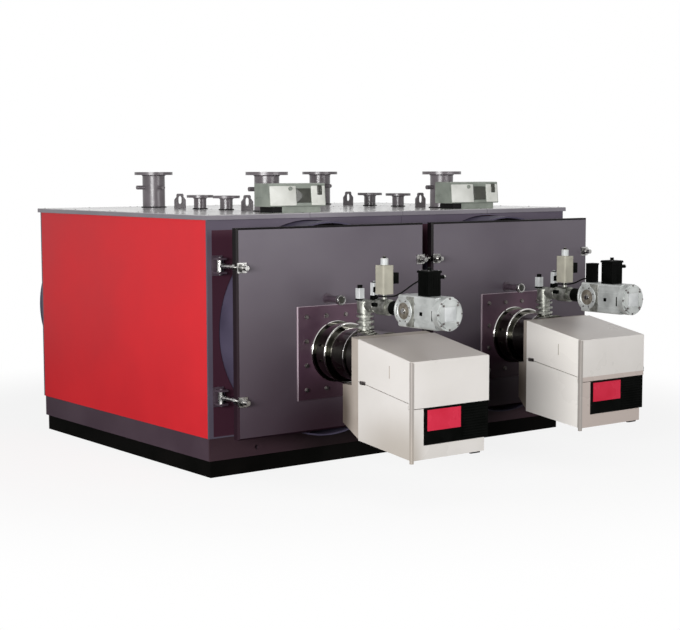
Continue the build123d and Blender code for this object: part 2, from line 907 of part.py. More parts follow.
def burner_body():
    """Lower part of the housing, open for the air intake, with a post at its left front corner."""
    half = housing_width / 2
    front = housing_front_y
    seam_z = seam_front_z - seam_gap / 2
    right = half - body_right_inset
    body = falling_prism((bottom_front_z, bottom_back_z), (seam_z, seam_back_z - seam_gap / 2), -half, right)
    cut_y = front - cut_over
    skirt_y = front + skirt_depth + seam_gap
    body -= block(-half - cut_over, half, cut_y, skirt_y, intake_top_z - seam_gap, seam_back_z)
    body -= block(intake_left_x, half, cut_y, front + intake_depth, intake_bottom_z, intake_top_z)
    body -= corner_notch(post_side, bottom_front_z - cut_over, seam_back_z)
    post = block(
        -half,
        post_side - half,
        front,
        front + post_side,
        bottom_front_z - post_drop,
        hood_front_z - hood_edge,
    )
    post = fillet(post.edges().filter_by(Axis.Z).sort_by(Axis.X)[:2].sort_by(Axis.Y)[0], post_corner)
    return body + post


def burner_back(frame_share):
    """Frame of the housing behind the hood, which holds the blast tube."""
    hood_back_y = door_front_y - hood_back_reach
    upper_depth = upper_frame_depth * frame_share
    upper_y = hood_back_y + upper_depth
    lower_y = hood_back_y + lower_frame_depth * frame_share
    rise = (hood_back_z - hood_front_z) / (housing_front_reach - hood_back_reach)
    top_z = hood_back_z - back_frame_inset
    outline = [
        (hood_back_y, bottom_back_z),
        (lower_y, back_foot_z),
        (lower_y, back_shelf_z),
        (upper_y, back_shelf_z),
        (upper_y, top_z + upper_depth * rise),
        (hood_back_y, top_z),
    ]
    frame = side_profile(outline, housing_width - 2 * back_frame_inset)
    return frame - lengthwise(burner_tube_radius + saddle_gap, upper_y, door_front_y, z=furnace_axis_z)


def air_intake():
    """Black intake block, a little behind the housing's front, that stands out of its right side."""
    front = housing_front_y
    return block(
        intake_left_x + intake_fit,
        housing_width / 2,
        front + intake_block_inset,
        front + intake_depth - intake_fit,
        intake_bottom_z + intake_fit,
        intake_top_z - intake_fit,
    )


def front_plate():
    """Plain red plate on the intake."""
    back = housing_front_y + intake_block_inset
    right_x = plate_left_x + plate_width
    top_z = plate_bottom_z + plate_height
    return block(plate_left_x, right_x, back - plate_thickness, back, plate_bottom_z, top_z)


# Gas train


def gas_pipe():
    """Riser from the blast tube, elbow, throttle body, and pipe to the valve's flange."""
    y = gas_riser_y
    parts = [upright(gas_pipe_radius, furnace_axis_z, gas_axis_z, y=y)]
    for z in riser_collar_zs:
        parts.append(upright(riser_collar_radius, z, z + riser_collar_thickness, y=y))
    parts.append(upright(elbow_radius, gas_axis_z - elbow_radius, riser_top_z, y=y))
    flange_y = door_front_y - flange_reach
    parts.append(lengthwise(gas_pipe_radius, flange_y, y, z=gas_axis_z))
    throttle_y = door_front_y - throttle_reach
    half = throttle_length / 2
    parts.append(lengthwise(throttle_radius, throttle_y - half, throttle_y + half, z=gas_axis_z))
    parts.append(upright(actuator_stem_radius, gas_axis_z, actuator_bottom_z, y=throttle_y))
    parts.append(lengthwise(flange_radius, flange_y - flange_thickness, flange_y, z=gas_axis_z))
    pipe = fused(parts)
    ring_high_y = door_front_y - tube_ring_reach + plate_fit
    ring_low_y = ring_high_y - tube_ring_thickness - 2 * plate_fit
    pipe -= lengthwise(tube_ring_radius + plate_fit, ring_low_y, ring_high_y, z=furnace_axis_z)
    reach = 2 * elbow_radius
    return pipe - lengthwise(burner_tube_radius + plate_fit, y - reach, y + reach, z=furnace_axis_z)


def actuator():
    """Motor that turns the throttle, with its narrower head, cap and plug."""
    y = door_front_y - throttle_reach
    half = actuator_side / 2
    body = block(-half, half, y - half, y + half, actuator_bottom_z, actuator_top_z)
    body = fillet(body.edges().filter_by(Axis.Z), actuator_corner)
    head = upright(actuator_head_radius, actuator_top_z, actuator_head_top_z, y=y)
    cap = upright(actuator_cap_radius, actuator_head_top_z, actuator_head_top_z + actuator_cap_height, y=y)
    plug = block(
        half,
        half + actuator_plug_depth,
        y - half + actuator_corner,
        y - half + actuator_corner + actuator_plug_width,
        actuator_plug_bottom_z,
        actuator_plug_bottom_z + actuator_plug_height,
    )
    return fused([body, head, cap, plug])


def gas_valve():
    """Cast valve block with grooved sides, and a round end cover with an eight-sided boss."""
    back = door_front_y - valve_back_reach
    front = door_front_y - valve_front_reach
    half = valve_width / 2
    low = gas_axis_z - valve_height / 2
    high = gas_axis_z + valve_height / 2
    body = block(-half, half, front, back, low, high)
    body = fillet(body.edges().filter_by(Axis.Y), valve_corner)
    for x in (-half, half):
        for z in (gas_axis_z - valve_height / 4, gas_axis_z + valve_height / 4):
            body -= block(
                x - valve_groove_depth,
                x + valve_groove_depth,
                front - cut_over,
                back + cut_over,
                z - valve_groove_width / 2,
                z + valve_groove_width / 2,
            )
    flange_y = door_front_y - flange_reach - flange_thickness
    mate = lengthwise(flange_radius, back, flange_y, z=gas_axis_z)
    cover_front = front - end_cover_thickness
    lid = lengthwise(end_cover_radius, cover_front, front, z=gas_axis_z)
    boss_front = cover_front - end_boss_rise
    octagon = Rot(0, 0, 180 / 8) * RegularPolygon(end_boss_flats / 2, 8, major_radius=False)
    boss = Pos(0, cover_front, gas_axis_z) * Rot(90, 0, 0) * extrude(octagon, end_boss_rise)
    valve = fused([body, mate, lid, boss])
    return valve - block(
        -end_recess_width / 2,
        end_recess_width / 2,
        boss_front - cut_over,
        boss_front + end_recess_depth,
        gas_axis_z - end_recess_height / 2,
        gas_axis_z + end_recess_height / 2,
    )


def gas_coil():
    """Coil box on the valve with its lid, knob and socket."""
    y = door_front_y - coil_reach
    base_z = gas_axis_z + valve_height / 2
    half = coil_side / 2
    lid_half = coil_lid_side / 2
    lid_z = base_z + coil_height
    body = block(-half, half, y - half, y + half, base_z, lid_z)
    lid = block(-lid_half, lid_half, y - lid_half, y + lid_half, lid_z, lid_z + coil_lid_height)
    lid = chamfer(lid.edges().group_by(Axis.Z)[-1], coil_edge)
    knob_z = lid_z + coil_lid_height
    knob = upright(coil_knob_radius, knob_z, knob_z + coil_knob_height, y=y)
    socket = Rot(0, 90, 0) * Cylinder(coil_socket_radius, coil_socket_length)
    socket = Pos(half + coil_socket_length / 2, y - half + coil_socket_inset, coil_socket_z) * socket
    return fused([body, lid, knob, socket])


def gas_switches():
    """Two small pressure switches on the pipe."""
    switches = []
    places = (
        (small_switch_reach, small_switch_side, riser_top_z, small_switch_top_z),
        (tall_switch_reach, tall_switch_side, gas_axis_z + gas_pipe_radius, tall_switch_top_z),
    )
    for reach, side, low, high in places:
        y = door_front_y - reach
        case = block(-side / 2, side / 2, y - side / 2, y + side / 2, low, high)
        case = chamfer(case.edges().filter_by(Axis.Z), switch_edge)
        cap = upright(switch_cap_radius, high, high + switch_cap_height, y=y)
        switches.append(case + cap)
    return switches


def gas_relay():
    """Relay box with a lid that overhangs to the right, on the back of the right unit's valve."""
    back = door_front_y - valve_back_reach
    base_z = gas_axis_z + valve_height / 2
    right = relay_left_x + relay_width
    lid_z = base_z + relay_height
    box = block(relay_left_x, right, back - relay_depth, back, base_z, lid_z)
    lip = right + relay_lid_lip
    return box + block(relay_left_x, lip, back - relay_depth, back, lid_z, lid_z + relay_lid_height)


def lead_points(to_relay):
    """Route of the lead: out of the tall switch, under the motor and up to the coil box or the relay box."""
    start_y = door_front_y - tall_switch_reach - tall_switch_side / 2
    start = [(lead_start_x, start_y, lead_low_z), (lead_start_x, start_y - lead_end_run, lead_low_z)]
    if to_relay:
        middle, end_y, end_z = relay_lead_middle, door_front_y - valve_back_reach, relay_lead_end_z
    else:
        middle, end_y, end_z = lead_middle, door_front_y - coil_reach + coil_side / 2, lead_end_z
    end = [(lead_side_x, end_y + lead_end_run, end_z), (lead_side_x, end_y, end_z)]
    return start + list(middle) + end


def bend_radii(points):
    """The largest arc that the two runs at each inner point leave room for."""
    radii = []
    for before, here, after in zip(points, points[1:], points[2:]):
        first = Vector(*here) - Vector(*before)
        second = Vector(*after) - Vector(*here)
        half_turn = math.radians(first.get_angle(second)) / 2
        radii.append(0.45 * min(first.length, second.length) / math.tan(half_turn))
    return radii


def gas_lead(to_relay):
    """Cable held between the tall switch and the box that it serves."""
    points = lead_points(to_relay)
    path = FilletPolyline(*points, radius=bend_radii(points))
    return sweep(Plane(origin=points[0], z_dir=path % 0) * Circle(lead_radius), path=path)


# Nodes


def place(shapes, side):
    """Moves a unit's pieces from the unit's frame to the left (-1) or right (1) unit."""
    solids = shapes if isinstance(shapes, list) else [shapes]
    return [Pos(side * unit_pitch / 2, -casing_length / 2, 0) * solid for solid in solids]


def both(make):
    """The same piece on both units."""
    return place(make(), -1) + place(make(), 1)


def nodes():
    """Every node by name, with its solids."""
    found = {
        "base": [base()],
        "plinth": both(plinth),
        "side_panels": place(side_panel(-1), -1) + place(side_panel(1), 1),
        "inner_panels": place(side_panel(1), -1) + place(side_panel(-1), 1),
        "front_casings": both(lambda: end_casing(True)),
        "rear_casings": both(lambda: end_casing(False)),
        "covers": place(cover(-1), -1) + place(cover(1), 1),
        "vessel_shells": both(vessel_shell),
        "tube_plates": both(tube_plates),
        "smoke_tubes": both(smoke_tubes),
        "smoke_boxes": both(smoke_box),
        "flue_spigots": both(flue_spigot),
        "tall_nozzles": both(tall_nozzles),
        "short_nozzles": both(short_nozzles),
        "lifting_lugs": both(lambda: [lifting_lug(y) for y in lug_ys]),
        "control_boxes": both(control_box),
        "hinge_brackets": place(hinge_brackets(-1), -1) + place(hinge_brackets(1), 1),
        "bolt_keepers": place(keepers(-1), -1) + place(keepers(1), 1),
    }
    doors = ((-1, "left", 0.0, 1.0), (1, "right", right_burner_set_back, right_frame_share))
    for side, name, set_back, share in doors:
        moved = Pos(0, set_back, 0)
        unit_pieces = {
            "furnace_tube": furnace(),
            "door_plate": door_plate(),
            "door_lining": door_lining(),
            "door_bolts": swing_bolts(side),
            "sight_tube": sight_tube(),
            "burner_plate": burner_plate(),
            "blast_tube": blast_tube(set_back, share),
            "burner_hood": moved * burner_hood(),
            "burner_body": moved * burner_body(),
            "burner_back": moved * burner_back(share),
            "air_intake": moved * air_intake(),
            "front_plate": moved * front_plate(),
            "gas_pipe": gas_pipe(),
            "gas_actuator": actuator(),
            "gas_valve": gas_valve(),
            "gas_coil": gas_coil(),
            "gas_switches": gas_switches(),
            "gas_lead": gas_lead(side > 0),
        }
        if side > 0:
            unit_pieces["gas_relay"] = gas_relay()
        for piece, shapes in unit_pieces.items():
            found[name + "_" + piece] = place(shapes, side)
    return found


os.makedirs("parts", exist_ok=True)
for node, solids in nodes().items():
    whole = solids[0] if len(solids) == 1 else Compound(children=solids)
    export_step(whole, os.path.join("parts", node + ".step"))
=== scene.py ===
import math

import bpy
import numpy as np
from mathutils import Matrix


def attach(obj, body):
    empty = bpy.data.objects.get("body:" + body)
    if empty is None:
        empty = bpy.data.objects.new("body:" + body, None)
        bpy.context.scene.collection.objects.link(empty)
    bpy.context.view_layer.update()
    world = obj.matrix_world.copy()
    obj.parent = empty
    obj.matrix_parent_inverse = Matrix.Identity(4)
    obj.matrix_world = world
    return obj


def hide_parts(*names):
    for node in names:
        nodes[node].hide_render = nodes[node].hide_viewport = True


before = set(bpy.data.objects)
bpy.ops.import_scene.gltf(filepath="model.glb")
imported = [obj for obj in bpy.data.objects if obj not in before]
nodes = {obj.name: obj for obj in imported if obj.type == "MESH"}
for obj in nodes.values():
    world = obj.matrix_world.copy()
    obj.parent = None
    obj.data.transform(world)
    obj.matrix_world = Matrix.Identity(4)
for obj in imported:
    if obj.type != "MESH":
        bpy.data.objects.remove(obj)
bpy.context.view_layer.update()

scene = bpy.context.scene
doors = ((-1, "left"), (1, "right"))
print("frame:", len(nodes), "nodes")

# Camera at the photograph's view, in metres and degrees
cameraValues = {
    "place": (-6.3862, -8.9335, 1.9160),
    "azimuth": -37.027,
    "downTilt": 5.542,
    "roll": -0.132,
    "focalPixels": 1479.04,
    "photoWidth": 680.0,
    "sensor": 36.0,
}


# Looks along the azimuth and down tilt, then turns by the roll about its own axis
def makeCamera(values):
    azimuth, tilt, roll = (math.radians(values[k]) for k in ("azimuth", "downTilt", "roll"))
    back = np.array([math.sin(azimuth) * math.cos(tilt), -math.cos(azimuth) * math.cos(tilt),
                     math.sin(tilt)])
    level = np.array([math.cos(azimuth), math.sin(azimuth), 0.0])
    upright = np.cross(back, level)
    right = math.cos(roll) * level + math.sin(roll) * upright
    up = math.cos(roll) * upright - math.sin(roll) * level
    data = bpy.data.cameras.new("photoCamera")
    data.sensor_width = values["sensor"]
    data.lens = values["sensor"] * values["focalPixels"] / values["photoWidth"]
    data.clip_end = 100.0
    camera = bpy.data.objects.new("photoCamera", data)
    matrix = Matrix(np.column_stack([right, up, back]).tolist()).to_4x4()
    matrix.translation = values["place"]
    camera.matrix_world = matrix
    scene.collection.objects.link(camera)
    scene.camera = camera


makeCamera(cameraValues)
scene.view_settings.view_transform = "Standard"
print("camera: placed")


# sRGB hex to linear: a channel / 12.92 near black, else ((channel + 0.055) / 1.055) to the power 2.4
def linearColour(hexText):
    channels = np.array([int(hexText[i:i + 2], 16) for i in (1, 3, 5)]) / 255.0
    linear = np.where(channels <= 0.04045, channels / 12.92, ((channels + 0.055) / 1.055) ** 2.4)
    return (*linear.tolist(), 1.0)


# One node with its settings, by attribute or socket, and its links, by socket
def addNode(tree, kind, settings=None, links=None):
    node = tree.nodes.new(kind)
    for key, value in (settings or {}).items():
        if isinstance(key, int) or key in node.inputs:
            node.inputs[key].default_value = value
        else:
            setattr(node, key, value)
    for key, source in (links or {}).items():
        tree.links.new(source, node.inputs[key])
    return node


# Studio: white air and floor for the camera, calm grey light for the rest
studioValues = {
    "airColour": "#FFFFFF",
    "airLight": 0.16,
    "floorSize": 60.0,
    "floorBounce": "#2E2A28",
    "floorShadowShare": 0.14,
    "floorShadowReach": (2.6, 4.6),
    "lamps": (
        # name, place, aim, width, height, watts
        ("sideSoftbox", (-8.6, -6.8, 2.3), (-0.9, -1.2, 1.1), 5.5, 2.2, 1080.0),
        ("frontSoftbox", (2.0, -9.8, 3.0), (0.2, -1.6, 1.4), 5.0, 2.2, 300.0),
    ),
    # black cloth on the floor round the object, which only reflections see
    "apronColour": "#050505",
    "apronReach": (5.5, 6.5),
    "apronHeight": 0.004,
}


# Share of rays that see the white set: camera, glossy and transmission rays, added and kept within one
def setRays(tree):
    path = addNode(tree, "ShaderNodeLightPath")
    first = addNode(tree, "ShaderNodeMath", {"operation": "ADD"},
                    {0: path.outputs["Is Camera Ray"], 1: path.outputs["Is Glossy Ray"]})
    return addNode(tree, "ShaderNodeMath", {"operation": "ADD", "use_clamp": True},
                   {0: first.outputs[0], 1: path.outputs["Is Transmission Ray"]}).outputs[0]


def makeAir(values):
    world = bpy.data.worlds.new("studioAir")
    world.use_nodes = True
    tree = world.node_tree
    tree.nodes.clear()
    light = addNode(tree, "ShaderNodeBackground",
                    {"Color": linearColour(values["airColour"]), "Strength": values["airLight"]})
    seen = addNode(tree, "ShaderNodeBackground", {"Color": linearColour(values["airColour"]),
                                                  "Strength": 1.0})
    mixed = addNode(tree, "ShaderNodeMixShader", None,
                    {0: setRays(tree), 1: light.outputs[0], 2: seen.outputs[0]})
    addNode(tree, "ShaderNodeOutputWorld", None, {"Surface": mixed.outputs[0]})
    scene.world = world


# Level sheet under the object: white with a share of soft shadow for the camera, grey for bounced light
def makeFloor(values):
    half = values["floorSize"] / 2
    mesh = bpy.data.meshes.new("studioFloor")
    mesh.from_pydata([(-half, -half, 0), (half, -half, 0), (half, half, 0), (-half, half, 0)], [],
                     [(0, 1, 2, 3)])
    floor = bpy.data.objects.new("studioFloor", mesh)
    scene.collection.objects.link(floor)
    material = bpy.data.materials.new("paperSweep")
    material.use_nodes = True
    tree = material.node_tree
    tree.nodes.clear()
    white = addNode(tree, "ShaderNodeEmission", {"Color": linearColour("#FFFFFF"), "Strength": 1.0})
    paper = addNode(tree, "ShaderNodeBsdfDiffuse", {"Color": linearColour("#FFFFFF")})
    bounce = addNode(tree, "ShaderNodeBsdfDiffuse", {"Color": linearColour(values["floorBounce"])})
    spot = addNode(tree, "ShaderNodeTexCoord")
    reach = addNode(tree, "ShaderNodeVectorMath", {"operation": "LENGTH"}, {0: spot.outputs["Object"]})
    near, far = values["floorShadowReach"]
    fade = addNode(tree, "ShaderNodeMapRange", {"interpolation_type": "SMOOTHSTEP", "From Min": near,
                                                "From Max": far, "To Min": values["floorShadowShare"],
                                                "To Max": 0.0}, {"Value": reach.outputs["Value"]})
    shown = addNode(tree, "ShaderNodeMixShader", None,
                    {0: fade.outputs[0], 1: white.outputs[0], 2: paper.outputs[0]})
    mixed = addNode(tree, "ShaderNodeMixShader", None,
                    {0: setRays(tree), 1: bounce.outputs[0], 2: shown.outputs[0]})
    addNode(tree, "ShaderNodeOutputMaterial", None, {"Surface": mixed.outputs[0]})
    mesh.materials.append(material)


def makeApron(values):
    reachX, reachY = values["apronReach"]
    height = values["apronHeight"]
    mesh = bpy.data.meshes.new("blackApron")
    corners = [(-reachX, -reachY, height), (reachX, -reachY, height), (reachX, reachY, height),
               (-reachX, reachY, height)]
    mesh.from_pydata(corners, [], [(0, 1, 2, 3)])
    apron = bpy.data.objects.new("blackApron", mesh)
    scene.collection.objects.link(apron)
    material = bpy.data.materials.new("blackCloth")
    material.use_nodes = True
    tree = material.node_tree
    tree.nodes.clear()
    cloth = addNode(tree, "ShaderNodeBsdfDiffuse", {"Color": linearColour(values["apronColour"])})
    addNode(tree, "ShaderNodeOutputMaterial", None, {"Surface": cloth.outputs[0]})
    mesh.materials.append(material)
    apron.visible_camera = False
    apron.visible_diffuse = False
    apron.visible_shadow = False
    apron.visible_transmission = False


def makeLamps(values):
    for name, place, aim, width, height, watts in values["lamps"]:
        data = bpy.data.lights.new(name, "AREA")
        data.shape = "RECTANGLE"
        data.size, data.size_y, data.energy = width, height, watts
        lamp = bpy.data.objects.new(name, data)
        back = np.array(place) - np.array(aim)
        back = back / np.linalg.norm(back)
        side = np.cross([0.0, 0.0, 1.0], back)
        side = side / np.linalg.norm(side) if np.linalg.norm(side) > 1e-6 else np.array([1.0, 0.0, 0.0])
        matrix = Matrix(np.column_stack([side, np.cross(back, side), back]).tolist()).to_4x4()
        matrix.translation = place
        lamp.matrix_world = matrix
        scene.collection.objects.link(lamp)


makeAir(studioValues)
makeFloor(studioValues)
makeApron(studioValues)
makeLamps(studioValues)
print("studio: air, floor and lamps")


# Colour with a tone laid over it by a share
def toned(tree, colour, tone, share):
    return addNode(tree, "ShaderNodeMix", {"data_type": "RGBA", 7: linearColour(tone)},
                   {0: share, 6: colour}).outputs[2]


# Surface of one finish: two tones in soft clouds, roughness that follows them, and fine grain as bump
# the low tone is a share of a tone laid on low down, painted shade that darkens towards the bottom; edge is the
# tone of faces that don't look to the front, up that of faces that look up, a patch is a box of the object, by its
# corners in metres, with a tone of its own, and a shade is a soft spot of painted shade, by its centre and reach in
# metres, with its tone and the most it covers; most uses of edge, up and patches below are painted light, shade and
# reflection
def makeFinish(name, values):
    material = bpy.data.materials.new(name)
    material.use_nodes = True
    tree = material.node_tree
    tree.nodes.clear()
    place = addNode(tree, "ShaderNodeTexCoord")
    stretch = addNode(tree, "ShaderNodeMapping", {"Scale": values.get("stretch", (1.0, 1.0, 1.0))},
                      {"Vector": place.outputs["Object"]})
    clouds = addNode(tree, "ShaderNodeTexNoise", {"Scale": 1000.0 / values["cloudMm"], "Detail": 4.0},
                     {"Vector": place.outputs["Object"]})
    share = addNode(tree, "ShaderNodeMapRange", {"From Min": 0.35, "From Max": 0.65},
                    {"Value": clouds.outputs[0]})
    grain = addNode(tree, "ShaderNodeTexNoise", {"Scale": 1000.0 / values["grainMm"], "Detail": 2.0},
                    {"Vector": stretch.outputs[0]})
    tones = {"data_type": "RGBA", 6: linearColour(values["dark"]), 7: linearColour(values["light"])}
    colour = addNode(tree, "ShaderNodeMix", tones, {0: share.outputs[0]}).outputs[2]
    if "edge" in values:
        side = addNode(tree, "ShaderNodeSeparateXYZ", None, {0: place.outputs["Normal"]})
        front = addNode(tree, "ShaderNodeMath", {"operation": "ABSOLUTE"}, {0: side.outputs[1]})
        turned = addNode(tree, "ShaderNodeMath", {"operation": "LESS_THAN", 1: 0.9}, {0: front.outputs[0]})
        colour = toned(tree, colour, values["edge"], turned.outputs[0])
        shine = addNode(tree, "ShaderNodeMapRange", {"To Min": 0.5, "To Max": values.get("edgeShine", 0.5)},
                        {"Value": turned.outputs[0]})
    if "up" in values:
        tone, most = values["up"]
        side = addNode(tree, "ShaderNodeSeparateXYZ", None, {0: place.outputs["Normal"]})
        risen = addNode(tree, "ShaderNodeMapRange", {"From Min": 0.6, "From Max": 0.9, "To Max": most},
                        {"Value": side.outputs[2]})
        colour = toned(tree, colour, tone, risen.outputs[0])
    for lowCorner, highCorner, tone in values.get("patches", ()):
        middle = ((np.array(lowCorner) + highCorner) / 2).tolist()
        half = (np.subtract(highCorner, lowCorner) / 2).tolist()
        apart = addNode(tree, "ShaderNodeVectorMath", {"operation": "SUBTRACT", 1: middle},
                        {0: place.outputs["Object"]})
        shares = addNode(tree, "ShaderNodeVectorMath", {"operation": "DIVIDE", 1: half},
                         {0: apart.outputs[0]})
        sizes = addNode(tree, "ShaderNodeVectorMath", {"operation": "ABSOLUTE"}, {0: shares.outputs[0]})
        parts = addNode(tree, "ShaderNodeSeparateXYZ", None, {0: sizes.outputs[0]})
        flat = addNode(tree, "ShaderNodeMath", {"operation": "MAXIMUM"},
                       {0: parts.outputs[0], 1: parts.outputs[1]})
        most = addNode(tree, "ShaderNodeMath", {"operation": "MAXIMUM"},
                       {0: flat.outputs[0], 1: parts.outputs[2]})
        inside = addNode(tree, "ShaderNodeMath", {"operation": "LESS_THAN", 1: 1.0}, {0: most.outputs[0]})
        colour = toned(tree, colour, tone, inside.outputs[0])
    for centre, reach, tone, most in values.get("shades", ()):
        apart = addNode(tree, "ShaderNodeVectorMath", {"operation": "SUBTRACT", 1: centre},
                        {0: place.outputs["Object"]})
        shares = addNode(tree, "ShaderNodeVectorMath", {"operation": "DIVIDE", 1: reach},
                         {0: apart.outputs[0]})
        far = addNode(tree, "ShaderNodeVectorMath", {"operation": "LENGTH"}, {0: shares.outputs[0]})
        soft = addNode(tree, "ShaderNodeMapRange", {"interpolation_type": "SMOOTHSTEP", "From Min": 0.2,
                                                    "To Min": most, "To Max": 0.0}, {"Value": far.outputs["Value"]})
        colour = toned(tree, colour, tone, soft.outputs[0])
    # painted shade: a tone that grows towards the bottom, broken up by the clouds
    if "lowShade" in values:
        low, high, most, tone = values["lowShade"]
        height = addNode(tree, "ShaderNodeSeparateXYZ", None, {0: place.outputs["Object"]})
        fade = addNode(tree, "ShaderNodeMapRange", {"From Min": high, "From Max": low, "To Max": most},
                       {"Value": height.outputs[2]})
        cover = addNode(tree, "ShaderNodeMapRange", {"To Min": 0.6}, {"Value": share.outputs[0]})
        patchy = addNode(tree, "ShaderNodeMath", {"operation": "MULTIPLY"},
                         {0: fade.outputs[0], 1: cover.outputs[0]})
        colour = toned(tree, colour, tone, patchy.outputs[0])
    low, high = values["rough"]
    rough = addNode(tree, "ShaderNodeMapRange", {"To Min": low, "To Max": high}, {"Value": share.outputs[0]})
    bump = addNode(tree, "ShaderNodeBump", {"Strength": values.get("grainShare", 0.4),
                                            "Distance": values["grainDepthMm"] / 1000.0},
                   {"Height": grain.outputs[0]})
    shader = addNode(tree, "ShaderNodeBsdfPrincipled",
                     {"Metallic": values.get("metal", 0.0), "IOR": values.get("ior", 1.5),
                      "Coat Weight": values.get("coat", 0.0), "Coat Roughness": 0.12},
                     {"Base Color": colour, "Roughness": rough.outputs[0], "Normal": bump.outputs[0]})
    if "edge" in values:
        tree.links.new(shine.outputs[0], shader.inputs["Specular IOR Level"])
    addNode(tree, "ShaderNodeOutputMaterial", None, {"Surface": shader.outputs[0]})
    return material


